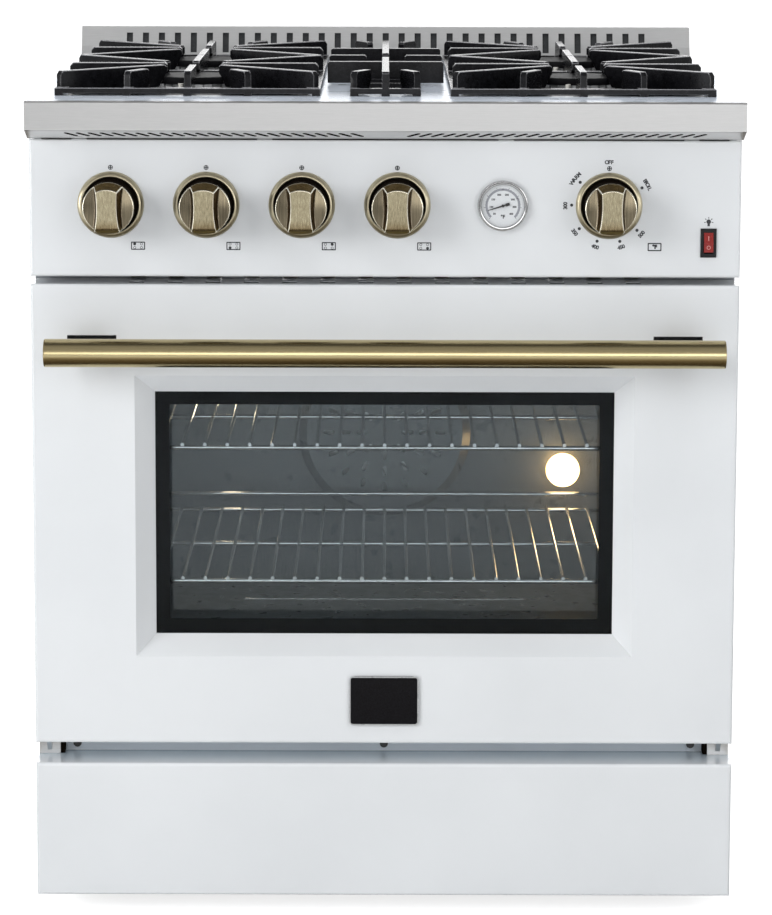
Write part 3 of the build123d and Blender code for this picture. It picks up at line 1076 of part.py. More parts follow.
with BuildPart() as door_skin:
    add(front_tray(BODY_WIDTH, DOOR_HEIGHT, DOOR_BOTTOM, DOOR_THICKNESS - SHEET))
    add(funnel_outside.part)
    with BuildSketch(front_plane(FACE_Y + BEVEL)):
        with Locations((0, WINDOW_MID_Z)):
            Rectangle(WINDOW_INNER[0] + 2 * GLASS_LAP, WINDOW_INNER[1] + 2 * GLASS_LAP)
    extrude(amount=-SHEET)
    add(bevel_funnel.part, mode=Mode.SUBTRACT)
    with BuildSketch(front_plane(FACE_Y + BEVEL - 1)):
        with Locations((0, WINDOW_MID_Z)):
            Rectangle(*WINDOW_INNER)
    extrude(amount=-3 * SHEET, mode=Mode.SUBTRACT)
    post_hole = [size + 2 * reveal for size, reveal in zip(HANDLE_POST_SIZE, HANDLE_POST_REVEAL)]
    with BuildSketch(front_plane(FACE_Y - 1)):
        with Locations((-HANDLE_POST_X, HANDLE_HEIGHT), (HANDLE_POST_X, HANDLE_HEIGHT)):
            Rectangle(*post_hole)
    extrude(amount=-SHEET - 2, mode=Mode.SUBTRACT)
    with BuildSketch(Plane.XY.offset(DOOR_TOP - SHEET)):
        with Locations((0, FACE_Y + 22)):
            with GridLocations(VENT_PITCH, 1, VENT_COUNT, 1):
                Rectangle(VENT_SLOT[0], VENT_SLOT[0])
    extrude(amount=2 * SHEET, mode=Mode.SUBTRACT)
    for side in (-1, 1):
        notch = HINGE_LUG / 2 + LUG_CLEAR
        cut_block((side * HINGE_X - notch, side * HINGE_X + notch), (FACE_Y + 9, DOOR_BACK_Y - 4),
                  (DOOR_BOTTOM - 1, DOOR_BOTTOM + 2 * SHEET))
save(door_skin.part, "door_skin")

INNER_WINDOW = (WINDOW_INNER[0] - 2 * INNER_WINDOW_INSET, WINDOW_INNER[1] - 2 * INNER_WINDOW_INSET)
with BuildPart() as door_liner:
    block((-HALF, HALF), (DOOR_BACK_Y - SHEET, DOOR_BACK_Y), (DOOR_BOTTOM, DOOR_TOP))
    with BuildSketch(front_plane(DOOR_BACK_Y)):
        with Locations((0, WINDOW_MID_Z)):
            Rectangle(*INNER_WINDOW)
    extrude(amount=2 * SHEET, mode=Mode.SUBTRACT)
    fillet(door_liner.edges().filter_by(Axis.Y).group_by(SortBy.LENGTH)[0], 0.6)
save(door_liner.part, "door_liner")

with BuildPart() as door_glass_outer:
    with BuildSketch(front_plane(GLASS_Y)):
        with Locations((0, WINDOW_MID_Z)):
            Rectangle(WINDOW_INNER[0] + 2 * GLASS_LAP, WINDOW_INNER[1] + 2 * GLASS_LAP)
    extrude(amount=-GLASS)
save(door_glass_outer.part, "door_glass_outer")

with BuildPart() as door_glass_inner:
    with BuildSketch(front_plane(INNER_GLASS_Y)):
        with Locations((0, WINDOW_MID_Z)):
            Rectangle(INNER_WINDOW[0] + 2 * GLASS_LAP, INNER_WINDOW[1] + 2 * GLASS_LAP)
    extrude(amount=-GLASS)
save(door_glass_inner.part, "door_glass_inner")

HANDLE_Y = FACE_Y - HANDLE_STANDOFF + HANDLE_RADIUS
with BuildPart() as door_handle:
    rod((0, HANDLE_Y, HANDLE_HEIGHT), HANDLE_RADIUS, HANDLE_LENGTH, ALONG_X)
    fillet(door_handle.edges().filter_by(GeomType.CIRCLE), 2.5)
save(door_handle.part, "door_handle")

POST_SEAT_Y = FACE_Y + 14.0
with BuildPart() as handle_posts:
    for side in (-1, 1):
        x = side * HANDLE_POST_X
        w, h = HANDLE_POST_SIZE
        block((x - w / 2, x + w / 2), (HANDLE_Y, POST_SEAT_Y),
              (HANDLE_HEIGHT - h / 2, HANDLE_HEIGHT + h / 2))
        reach = w / 2 + HANDLE_POST_REVEAL[0] + HANDLE_FLANGE[0]
        block((x - reach, x + reach), (FACE_Y + SHEET, FACE_Y + SHEET + HANDLE_FLANGE[1]),
              (HANDLE_HEIGHT - h / 2, HANDLE_HEIGHT + h / 2))
    rod((0, HANDLE_Y, HANDLE_HEIGHT), HANDLE_RADIUS, HANDLE_LENGTH, ALONG_X, Mode.SUBTRACT)
save(handle_posts.part, "handle_posts")

with BuildPart() as door_badge:
    with BuildSketch(front_plane(FACE_Y)):
        with Locations((0, BADGE_HEIGHT)):
            RectangleRounded(BADGE_SIZE[0], BADGE_SIZE[1], 7)
    extrude(amount=BADGE_SIZE[2])
    chamfer(door_badge.faces().sort_by(Axis.Y)[0].edges(), 0.6)
save(door_badge.part, "door_badge")

EAR_GAP = 0.5
with BuildPart() as door_hinge_arms:
    for side in (-1, 1):
        x = side * HINGE_X
        near = HINGE_LUG / 2 + EAR_GAP
        far = near + HINGE_EAR
        arm_y = (PIN_Y - 12, DOOR_BACK_Y - SHEET)
        low, high = DOOR_BOTTOM + SHEET, DOOR_BOTTOM + 46
        block((x - far, x - near), arm_y, (low, high))
        block((x + near, x + far), arm_y, (low, high))
        block((x - near, x + near), arm_y, (PIN_Z + HINGE_EYE_RADIUS + 4, high))
        rod((x, PIN_Y, PIN_Z), HINGE_PIN_RADIUS, 2 * far, ALONG_X)
save(door_hinge_arms.part, "door_hinge_arms")

BRACKET_TOP = DOOR_BOTTOM - 3.0
BRACKET_WALL = 2.0
with BuildPart() as hinge_brackets:
    for side in (-1, 1):
        x0, x1 = sorted((side * HALF, side * (HALF - HINGE_BRACKET_WIDTH)))
        front = BODY_FRONT_Y - HINGE_BRACKET_DEPTH
        z0 = KICK_TOP + 0.2
        block((x0, x1), (front, front + BRACKET_WALL), (z0, BRACKET_TOP))
        block((x0, x0 + BRACKET_WALL), (front, BODY_FRONT_Y), (z0, BRACKET_TOP))
        block((x1 - BRACKET_WALL, x1), (front, BODY_FRONT_Y), (z0, BRACKET_TOP))
        lug = (side * HINGE_X - HINGE_LUG / 2, side * HINGE_X + HINGE_LUG / 2)
        with BuildSketch(Plane.YZ.offset(lug[0])):
            with BuildLine():
                Polyline((PIN_Y, PIN_Z - HINGE_EYE_RADIUS), (front, z0 + 4), (front + 1, z0 + 4),
                         (front + 1, BRACKET_TOP), (front - 2, BRACKET_TOP), (PIN_Y + 4, PIN_Z + 5.7),
                         (PIN_Y, PIN_Z + 5), close=True)
            make_face()
            with Locations((PIN_Y, PIN_Z)):
                Circle(HINGE_EYE_RADIUS)
                Circle(HINGE_PIN_RADIUS + SHAFT_FIT, mode=Mode.SUBTRACT)
        extrude(amount=HINGE_LUG)
save(hinge_brackets.part, "hinge_brackets")

SCREW_HEIGHT = 185.0
SCREW_SPACING = 338.0
SCREW_HEAD = (4.5, 2.4)          # radius and height
with BuildPart() as front_screws:
    for x in (-SCREW_SPACING, 0.0, SCREW_SPACING):
        rod((x, BODY_FRONT_Y - SCREW_HEAD[1] / 2, SCREW_HEIGHT), *SCREW_HEAD, ALONG_Y)
save(front_screws.part, "front_screws")
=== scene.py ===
import json
import math

import bmesh
import bpy
from mathutils import Matrix, Vector


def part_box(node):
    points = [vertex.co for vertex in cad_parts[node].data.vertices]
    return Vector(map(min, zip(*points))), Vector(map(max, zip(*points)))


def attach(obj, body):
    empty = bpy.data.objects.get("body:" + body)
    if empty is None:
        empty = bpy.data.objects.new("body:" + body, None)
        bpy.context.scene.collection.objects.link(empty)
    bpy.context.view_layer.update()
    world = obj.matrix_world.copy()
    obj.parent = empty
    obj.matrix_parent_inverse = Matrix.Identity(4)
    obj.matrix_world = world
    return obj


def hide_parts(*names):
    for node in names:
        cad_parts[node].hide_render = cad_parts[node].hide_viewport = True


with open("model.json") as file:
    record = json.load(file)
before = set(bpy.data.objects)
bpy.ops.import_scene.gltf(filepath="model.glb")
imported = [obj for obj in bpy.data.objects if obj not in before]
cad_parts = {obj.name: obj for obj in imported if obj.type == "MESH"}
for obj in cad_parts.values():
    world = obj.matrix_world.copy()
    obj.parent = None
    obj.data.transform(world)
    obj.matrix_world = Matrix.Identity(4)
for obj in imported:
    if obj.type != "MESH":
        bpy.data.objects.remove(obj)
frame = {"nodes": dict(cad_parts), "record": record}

# The freestanding gas range: its finishes, its fine pieces, the studio and the camera.
# Lengths are in metres in the range's own frame: X to the right, Y to the back, Z up.

bpy.context.view_layer.update()
MM = 0.001
NODES = frame["nodes"]
JOINTS = {joint["name"]: joint for joint in frame["record"]["behaviour"]["joints"]}
KNOBS = ("rear_left", "front_left", "rear_right", "front_right", "oven")

FRONT = Vector((0, -1, 0))
RIGHT = Vector((1, 0, 0))
UP = Vector((0, 0, 1))
PANEL_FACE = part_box("control_panel")[0].y
INK_PROUD = 0.06 * MM


def knob_axis(name):
    """The centre of a knob's axis on the face of the control panel."""
    x, _, z = JOINTS[f"knob_{name}_turn"]["pos_m"]
    return Vector((x, PANEL_FACE, z))


def placed(name, data):
    """A new object in the scene that shows some data."""
    thing = bpy.data.objects.new(name, data)
    bpy.context.scene.collection.objects.link(thing)
    return thing


def soften(piece, width, angle=35):
    """Rounds the edges of a piece that turn by more than an angle in degrees."""
    bevel = piece.modifiers.new("edges", "BEVEL")
    bevel.width = width
    bevel.segments = 3
    bevel.limit_method = "ANGLE"
    bevel.angle_limit = math.radians(angle)
    return bevel


def in_mm(pairs):
    return [(a * MM, b * MM) for a, b in pairs]


def middle(low, high):
    """The x and z of the middle of a box."""
    return (low.x + high.x) / 2, (low.z + high.z) / 2


def sine_cosine(degrees):
    angle = math.radians(degrees)
    return math.sin(angle), math.cos(angle)


def dimmed(colour, share):
    return tuple(share * part for part in colour)


# ---- shader nodes
def feed(tree, socket, source):
    """Links a socket to its source, or gives it a value."""
    if isinstance(source, bpy.types.NodeSocket):
        tree.links.new(source, socket)
    else:
        socket.default_value = source


def add_node(tree, kind, feeds=None, **settings):
    made = tree.nodes.new(kind)
    for name, value in settings.items():
        setattr(made, name, value)
    for name, source in (feeds or {}).items():
        feed(tree, made.inputs[name], source)
    return made


def add_ramp(tree, factor, stops):
    """A colour ramp between (position, colour) stops; a colour may be one grey level."""
    ramp = add_node(tree, "ShaderNodeValToRGB", {"Fac": factor})
    elements = ramp.color_ramp.elements
    while len(elements) < len(stops):
        elements.new(0.5)
    for element, (position, colour) in zip(elements, stops):
        element.position = position
        element.color = (*(colour if isinstance(colour, tuple) else (colour,) * 3), 1)
    return ramp.outputs["Color"]


class Finish:
    """A principled material whose colour, roughness and relief come from nodes."""

    def __init__(self, name, **values):
        self.material = bpy.data.materials.new("finish_" + name)
        self.material.use_nodes = True
        self.tree = self.material.node_tree
        self.tree.nodes.clear()
        self.shader = self.node("ShaderNodeBsdfPrincipled")
        self.node("ShaderNodeOutputMaterial", {"Surface": self.shader.outputs["BSDF"]})
        self.place = self.node("ShaderNodeTexCoord").outputs["Object"]
        for socket, value in values.items():
            self.shade(socket.replace("_", " "), value)

    def node(self, kind, feeds=None, **settings):
        return add_node(self.tree, kind, feeds, **settings)

    def shade(self, socket, source):
        feed(self.tree, self.shader.inputs[socket], source)

    def scaled(self, scale, place=None):
        feeds = {"Vector": place or self.place, "Scale": scale}
        return self.node("ShaderNodeMapping", feeds).outputs["Vector"]

    def noise(self, scale, detail=4.0, roughness=0.5, place=None):
        feeds = {"Vector": place or self.place, "Scale": scale, "Detail": detail,
                 "Roughness": roughness}
        return self.node("ShaderNodeTexNoise", feeds).outputs["Fac"]

    def cells(self, scale, output="Distance"):
        return self.node("ShaderNodeTexVoronoi",
                         {"Vector": self.place, "Scale": scale}).outputs[output]

    def ramp(self, factor, *stops):
        return add_ramp(self.tree, factor, stops)

    def sum(self, first, second, operation="ADD"):
        return self.node("ShaderNodeMath", {0: first, 1: second},
                         operation=operation).outputs["Value"]

    def along(self, axis):
        return self.node("ShaderNodeSeparateXYZ", {0: self.place}).outputs[axis]

    def distance(self, scale):
        """The distance from the origin once every axis is scaled."""
        return self.node("ShaderNodeVectorMath", {0: self.scaled(scale)},
                         operation="LENGTH").outputs["Value"]

    def colour(self, factor, *stops):
        self.shade("Base Color", self.ramp(factor, *stops))

    def gloss(self, factor, low, high):
        self.shade("Roughness", self.ramp(factor, (0.3, low), (0.7, high)))

    def relief(self, height, strength, distance):
        bump = self.node("ShaderNodeBump",
                         {"Height": height, "Strength": strength, "Distance": distance})
        self.shade("Normal", bump.outputs["Normal"])

    def tinted(self, tint):
        """Multiplies the base colour by a tint that varies over the piece: painted light and shade.
        """
        base = self.shader.inputs["Base Color"].links[0].from_socket
        mix = self.node("ShaderNodeMix", {0: 1.0, 6: base, 7: tint}, data_type="RGBA",
                        blend_type="MULTIPLY")
        self.shade("Base Color", mix.outputs[2])

    def graded(self, axis, low, high, *stops, above=None):
        """Paints light and shade into the base colour between two places along an axis, or only
        over a height.
        """
        span = self.node("ShaderNodeMapRange",
                         {"Value": self.along(axis), "From Min": low, "From Max": high})
        reach = span.outputs["Result"]
        if above is not None:
            reach = self.sum(reach, self.sum(self.along("Z"), above, "GREATER_THAN"), "MULTIPLY")
        self.tinted(self.ramp(reach, *stops))

    def done(self, grade=None, above=None):
        if grade:
            self.graded(*grade, above=above)
        return self.material


# ---- kinds of finish
def enamel(name, dark, light, grade=None, above=None):
    """Fired porcelain enamel: a glassy coat with a faint orange peel."""
    finish = Finish(name, Coat_Weight=0.35, Coat_Roughness=0.05)
    finish.colour(finish.noise(6.0, 3.0), (0.35, dark), (0.65, light))
    finish.gloss(finish.noise(35.0, 3.0), 0.16, 0.24)
    finish.relief(finish.sum(finish.noise(190.0, 2.0), finish.noise(38.0, 2.0)), 0.10, 0.3 * MM)
    return finish.done(grade, above)


# Painted shade: the black under a big grate stands for the shade and dark reflections there, and
# ends this far inside the grate's own outline.
SHADE_INSET = 14 * MM
SHADE_SHARPNESS = 150.0


def cooktop(name, dark, light, black):
    """Bright glazed steel, with painted shade: matt black under the two big grates."""
    finish = Finish(name)
    finish.colour(finish.noise(6.0, 3.0), (0.35, dark), (0.65, light))
    finish.gloss(finish.noise(35.0, 1.0), 0.26, 0.30)
    finish.relief(finish.noise(38.0, 1.0), 0.03, 0.3 * MM)
    left_low, left_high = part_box("grate_left")
    middle = (left_low + left_high) / 2
    half = (left_high - left_low) / 2

    def past(place, centre, reach):
        """How far a place lies past the edge of the painted shade, or less than zero inside it."""
        offset = finish.sum(finish.sum(place, centre, "SUBTRACT"), 0.0, "ABSOLUTE")
        return finish.sum(offset, reach - SHADE_INSET, "SUBTRACT")

    past_x = past(finish.sum(finish.along("X"), 0.0, "ABSOLUTE"), -middle.x, half.x)
    past_y = past(finish.along("Y"), middle.y, half.y)
    outside = finish.sum(finish.sum(past_x, past_y, "MAXIMUM"), SHADE_SHARPNESS, "MULTIPLY")
    # painted shade under the grates: black, less metallic and less glossy
    finish.tinted(finish.ramp(outside, (0.0, black), (0.5, 1.0)))
    for socket, under, beside in (("Metallic", 0.0, 0.25), ("Specular IOR Level", 0.03, 0.5)):
        finish.shade(socket, finish.ramp(outside, (0.0, under), (0.5, beside)))
    return finish.done()


STREAK_LENGTH = 45    # a brush mark's length over its width


def brushed(name, dark, light, along, rough=(0.24, 0.38), strength=0.25, fine=1500.0, grade=None,
            **values):
    """Metal brushed in one direction: long streaks in its colour, gloss and relief."""
    finish = Finish(name, **{"Metallic": 1.0, **values})
    scale = [fine, fine, fine]
    scale["XYZ".index(along)] = fine / STREAK_LENGTH
    streaks = finish.noise(1.0, 6.0, 0.7, finish.scaled(scale))
    cloud = finish.noise(9.0, 3.0, 0.6)
    mixed = finish.sum(finish.sum(streaks, 0.75, "MULTIPLY"), finish.sum(cloud, 0.25, "MULTIPLY"))
    finish.colour(mixed, (0.36, dark), (0.64, light))
    finish.gloss(mixed, *rough)
    finish.relief(streaks, strength, 0.08 * MM)
    return finish.done(grade)


def turned_metal(name, dark, light, rough, grade=None):
    """Metal brushed round the Y axis of the piece that wears it."""
    finish = Finish(name, Metallic=1.0)
    radius = finish.node("ShaderNodeCombineXYZ", {"X": finish.distance((1.0, 0.0, 1.0))})
    place = finish.scaled((2600.0, 1.0, 1.0), radius.outputs["Vector"])
    rings = finish.noise(1.0, 5.0, 0.7, place)
    finish.colour(rings, (0.36, dark), (0.64, light))
    finish.gloss(rings, *rough)
    finish.relief(rings, 0.2, 0.05 * MM)
    return finish.done(grade)


def iron(name, dark, light, grain, rough, strength, **values):
    """Cast or sprayed black: a fine sandy relief that catches the light."""
    finish = Finish(name, **values)
    fine = finish.noise(grain, 4.0, 0.6)
    finish.colour(finish.noise(grain / 6, 4.0), (0.35, dark), (0.7, light))
    finish.gloss(fine, *rough)
    finish.relief(finish.sum(fine, finish.noise(grain / 7, 3.0)), strength, 0.5 * MM)
    return finish.done()


def speckled(name, base, fleck):
    """Dark oven enamel with pale flecks."""
    finish = Finish(name, Coat_Weight=0.2)
    finish.colour(finish.cells(420.0), (0.10, fleck), (0.22, base))
    finish.gloss(finish.noise(60.0, 3.0), 0.25, 0.4)
    finish.relief(finish.noise(160.0, 3.0), 0.15, 0.3 * MM)
    return finish.done()


def plain(name, dark, light, rough=(0.3, 0.45), strength=0.1, grade=None, **values):
    """A moulded or printed surface with a fine even grain."""
    finish = Finish(name, **values)
    fine = finish.noise(900.0, 3.0)
    finish.colour(fine, (0.35, dark), (0.65, light))
    finish.gloss(finish.noise(900.0 / 8, 3.0), *rough)
    finish.relief(fine, strength, 0.1 * MM)
    return finish.done(grade)


def glass(name, tint, bend):
    finish = Finish(name, Transmission_Weight=1.0, IOR=bend)
    finish.colour(finish.noise(3.0, 1.0), (0.4, tint), (0.6, dimmed(tint, 0.97)))
    finish.gloss(finish.noise(5.0, 1.0), 0.0, 0.015)
    return finish.done()


def woven(name, dark, light):
    """A braided heat seal."""
    finish = Finish(name)
    feeds = {"Vector": finish.place, "Scale": 260.0, "Distortion": 3.0}
    braid = finish.node("ShaderNodeTexWave", feeds, wave_type="BANDS",
                        bands_direction="DIAGONAL").outputs["Fac"]
    finish.colour(braid, (0.2, dark), (0.8, light))
    finish.gloss(finish.noise(400.0), 0.75, 0.95)
    finish.relief(braid, 0.6, 0.8 * MM)
    return finish.done()


def wool(name, dark, light):
    finish = Finish(name)
    fibres = finish.noise(120.0, 8.0, 0.75, finish.scaled((1.0, 3.0, 1.0)))
    finish.colour(fibres, (0.3, dark), (0.7, light))
    finish.gloss(fibres, 0.85, 1.0)
    finish.relief(fibres, 0.9, 2.0 * MM)
    return finish.done()


def spangled(name, dark, light):
    """Zinc-coated sheet with soft crystals."""
    finish = Finish(name, Metallic=1.0)
    crystals = finish.cells(95.0, "Color")
    finish.colour(crystals, (0.2, dark), (0.8, light))
    finish.gloss(crystals, 0.38, 0.46)
    finish.relief(finish.noise(300.0), 0.08, 0.1 * MM)
    return finish.done()


def lamp_glow(name, colour, strength):
    finish = Finish(name, Emission_Strength=strength, Roughness=0.2)
    glow = finish.ramp(finish.noise(40.0, 2.0), (0.3, colour), (0.7, dimmed(colour, 0.9)))
    finish.shade("Emission Color", glow)
    finish.shade("Base Color", glow)
    return finish.done()


WHITE = ((0.70, 0.72, 0.74), (0.73, 0.75, 0.77))
FINISHES = {material.name.removeprefix("finish_"): material for material in (
    enamel("white_enamel", *WHITE),
    # its last value is the black of the painted shade under the big grates
    cooktop("cooktop_enamel", (0.67, 0.73, 0.82), (0.71, 0.77, 0.86), 0.012),
    speckled("oven_enamel", (0.085, 0.09, 0.10), (0.30, 0.31, 0.33)),
    brushed("trim_steel", 0.60, 0.70, "X", (0.34, 0.42), strength=0.12, fine=2200.0),
    spangled("galvanised_steel", (0.49, 0.50, 0.52), (0.58, 0.59, 0.61)),
    iron("cast_iron", (0.005, 0.005, 0.006), (0.011, 0.011, 0.013), 900.0, (0.18, 0.30), 0.10,
         Specular_IOR_Level=0.16),
    iron("cap_enamel", (0.004, 0.004, 0.005), (0.009, 0.009, 0.010), 420.0, (0.42, 0.55), 0.08,
         Specular_IOR_Level=0.06),
    spangled("aluminium", (0.55, 0.56, 0.57), (0.70, 0.71, 0.72)),
    brushed("antique_brass", (0.51, 0.42, 0.23), (0.63, 0.53, 0.30), "X", (0.20, 0.26),
            strength=0.08),
    brushed("valve_brass", (0.55, 0.42, 0.18), (0.72, 0.58, 0.30), "Y"),
    brushed("chrome_wire", (0.62, 0.62, 0.63), (0.80, 0.80, 0.81), "Z", (0.08, 0.2),
            strength=0.1),
    glass("door_glass", (0.84, 0.88, 0.90), 1.12),
    lamp_glow("lamp_glass", (1.0, 0.62, 0.25), 9.0),
    woven("gasket", 0.03, (0.13, 0.13, 0.125)),
    wool("insulation", (0.45, 0.42, 0.30), (0.72, 0.68, 0.52)),
    spangled("foot_steel", (0.30, 0.30, 0.31), (0.44, 0.44, 0.45)),
    plain("black_plastic", (0.005, 0.005, 0.006), (0.010, 0.010, 0.011), Specular_IOR_Level=0.22),
    plain("red_plastic", (0.20, 0.009, 0.007), (0.31, 0.015, 0.012), (0.10, 0.18),
          Coat_Weight=0.4),
    plain("badge_black", (0.005, 0.005, 0.006), (0.009, 0.009, 0.011), (0.12, 0.2),
          strength=0.02, Specular_IOR_Level=0.15),
    plain("ceramic", (0.78, 0.76, 0.70), (0.86, 0.84, 0.79)),
    plain("needle_black", 0.008, 0.016),
    plain("screw_black", 0.010, 0.025, (0.25, 0.4)),
)}

# Finishes of the fine pieces, and of a few solids with a shade of their own; several carry painted
# light and shade.
KNOB_MIDDLE = knob_axis("oven").z
# Painted shade: the grip's face darkens towards its foot.
KNOB_BRASS = brushed("knob_brass", (0.36, 0.31, 0.20), (0.76, 0.69, 0.485), "Z",
                     (0.20, 0.30), strength=0.15, fine=800.0,
                     grade=("Z", KNOB_MIDDLE - 20.5 * MM, KNOB_MIDDLE - 10 * MM,
                            (0.0, (0.62, 0.54, 0.45)), (1.0, 1.0)))
# Painted shade: a darker copy of the brass for the roll at the grip's foot, which faces down.
SHADED_FOOT_BRASS = brushed("shaded_foot_brass", (0.15, 0.122, 0.07), (0.26, 0.215, 0.13), "Z",
                     (0.36, 0.46), strength=0.10, fine=800.0,
                     Specular_Tint=(0.36, 0.31, 0.24, 1))
SKIRT_BRASS = brushed("skirt_brass", (0.09, 0.075, 0.05), (0.26, 0.22, 0.15), "Z",
                      (0.20, 0.28), strength=0.15, fine=1000.0)
# Darker brass for the walls of the grip.
DARK_BRASS = plain("dark_brass", (0.11, 0.092, 0.066), (0.21, 0.18, 0.135), (0.24, 0.36),
               Metallic=1.0, Specular_Tint=(0.42, 0.36, 0.29, 1))
# Polished edges, brighter than the brass round them, partly a painted highlight; painted shade dims
# them near the foot.
POLISHED_HIGHLIGHT = plain("polished_edge_highlight", (0.84, 0.79, 0.64), (0.92, 0.87, 0.72), (0.14, 0.22),
                 Metallic=1.0, grade=("Z", KNOB_MIDDLE - 29 * MM, KNOB_MIDDLE - 24 * MM,
                                      (0.0, 0.45), (1.0, 1.0)))
DRUM_BLACK = plain("drum_black", (0.006, 0.0045, 0.003), (0.011, 0.008, 0.006),
                   (0.55, 0.7), Specular_IOR_Level=0.05, IOR=1.1)
# Painted shade: the bezel ring darkens towards its bottom.
SHADED_RING_BRASS = turned_metal("shaded_ring_brass", (0.46, 0.41, 0.28), (0.60, 0.54, 0.39),
                          (0.28, 0.38), grade=("Z", -34 * MM, 34 * MM, (0.0, 0.62),
                                                     (0.3, 0.84), (0.55, 1.0)))
RIM_STEEL = turned_metal("rim_steel", 0.44, 0.60, (0.08, 0.14))
BADGE_SILVER = plain("badge_silver", (0.40, 0.41, 0.42), (0.55, 0.56, 0.57), (0.25, 0.35),
                     Metallic=0.3)
GRATE_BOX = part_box("grate_left")
# Painted highlight on the grates' rounded edges: bright along the tops of the rails and of the
# fingers, dark on the upright edges.
HIGHLIGHT_IRON_EDGE = plain("painted_highlight_iron_edge", (0.24, 0.24, 0.255), (0.38, 0.38, 0.40), (0.2, 0.3),
                  Metallic=0.4,
                  grade=("Z", GRATE_BOX[0].z, GRATE_BOX[1].z, (0.0, 0.12), (0.255, 0.12),
                         (0.275, 1.0), (0.325, 1.0), (0.36, 0.15), (0.90, 0.15), (0.94, 1.0)))
GUARD_STEEL = brushed("guard_steel", 0.58, 0.66, "X", (0.40, 0.50), strength=0.12,
                      fine=2200.0, Metallic=0.8)
TRIM_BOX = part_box("front_trim")
# Painted light: the lip is brighter than the face above it.
LIT_LIP_TRIM_STEEL = brushed("front_trim_steel_lit_lip", 0.70, 0.80, "X", (0.34, 0.42), strength=0.10,
                     fine=2200.0, Metallic=0.9,
                     grade=("Z", TRIM_BOX[0].z + 9 * MM, TRIM_BOX[0].z + 12.5 * MM,
                            (0.0, 1.0), (1.0, 0.62)))
KICK_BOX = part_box("kick_panel")
# Painted shade on the kick panel's top flange only: deeper and bluer towards the back.
SHADED_KICK_ENAMEL = enamel("shaded_kick_enamel", *WHITE,
                     grade=("Y", KICK_BOX[0].y + 2 * MM, KICK_BOX[1].y, (0.0, 1.0),
                            (0.85, (0.70, 0.82, 0.90)), (1.0, (0.42, 0.50, 0.56))),
                     above=KICK_BOX[1].z - 1 * MM)
# Painted shade: the oven's front frame darkens upwards from the gap under the door.
SHADED_FRAME_GREY = enamel("shaded_frame_grey", (0.72, 0.78, 0.84), (0.78, 0.84, 0.90),
                    grade=("Z", 0.20, 0.45, (0.0, 1.0), (1.0, 0.36)))
VEILED_GLASS = glass("inner_glass", (0.92, 0.95, 0.95), 1.5)
PANEL_INK = plain("panel_ink", (0.012, 0.013, 0.018), (0.02, 0.022, 0.028), (0.4, 0.5))
FAINT_INK = plain("faint_ink", (0.22, 0.23, 0.26), (0.30, 0.31, 0.34), (0.4, 0.5))
PALE_INK = plain("pale_ink", (0.55, 0.24, 0.22), (0.66, 0.32, 0.30), (0.3, 0.4))
DIAL_WHITE = plain("dial_white", (0.62, 0.64, 0.66), (0.68, 0.70, 0.72), (0.35, 0.45))
PAINTED_SHADE_SHEET = plain("painted_shade_sheet", (0.020, 0.021, 0.023), (0.035, 0.036, 0.038), (0.6, 0.8))
FRIT = plain("frit", (0.006, 0.007, 0.008), (0.010, 0.011, 0.012), (0.08, 0.14),
             strength=0.02, Specular_IOR_Level=0.1)

for node in NODES.values():
    for index, material in enumerate(node.data.materials):
        node.data.materials[index] = FINISHES[material.name.split(".")[0]]
for name, material in (("oven_front_frame", SHADED_FRAME_GREY), ("backguard", GUARD_STEEL),
                       ("front_trim", LIT_LIP_TRIM_STEEL), ("kick_panel", SHADED_KICK_ENAMEL),
                       ("door_glass_inner", VEILED_GLASS)):
    NODES[name].data.materials[0] = material
# the rounded edges of the grates take the painted highlight
for name in ("grate_left", "grate_right", "grate_center"):
    weld = NODES[name].modifiers.new("weld", "WELD")
    weld.merge_threshold = 1e-5
    NODES[name].data.materials.append(HIGHLIGHT_IRON_EDGE)
    soften(NODES[name], 1.0 * MM, 40).material = 1


# ---- mesh building
def wall(first, count):
    """The faces between a ring of points and the next ring of as many."""
    ring = [(first + k, first + (k + 1) % count) for k in range(count)]
    return [(a, b, count + b, count + a) for a, b in ring]


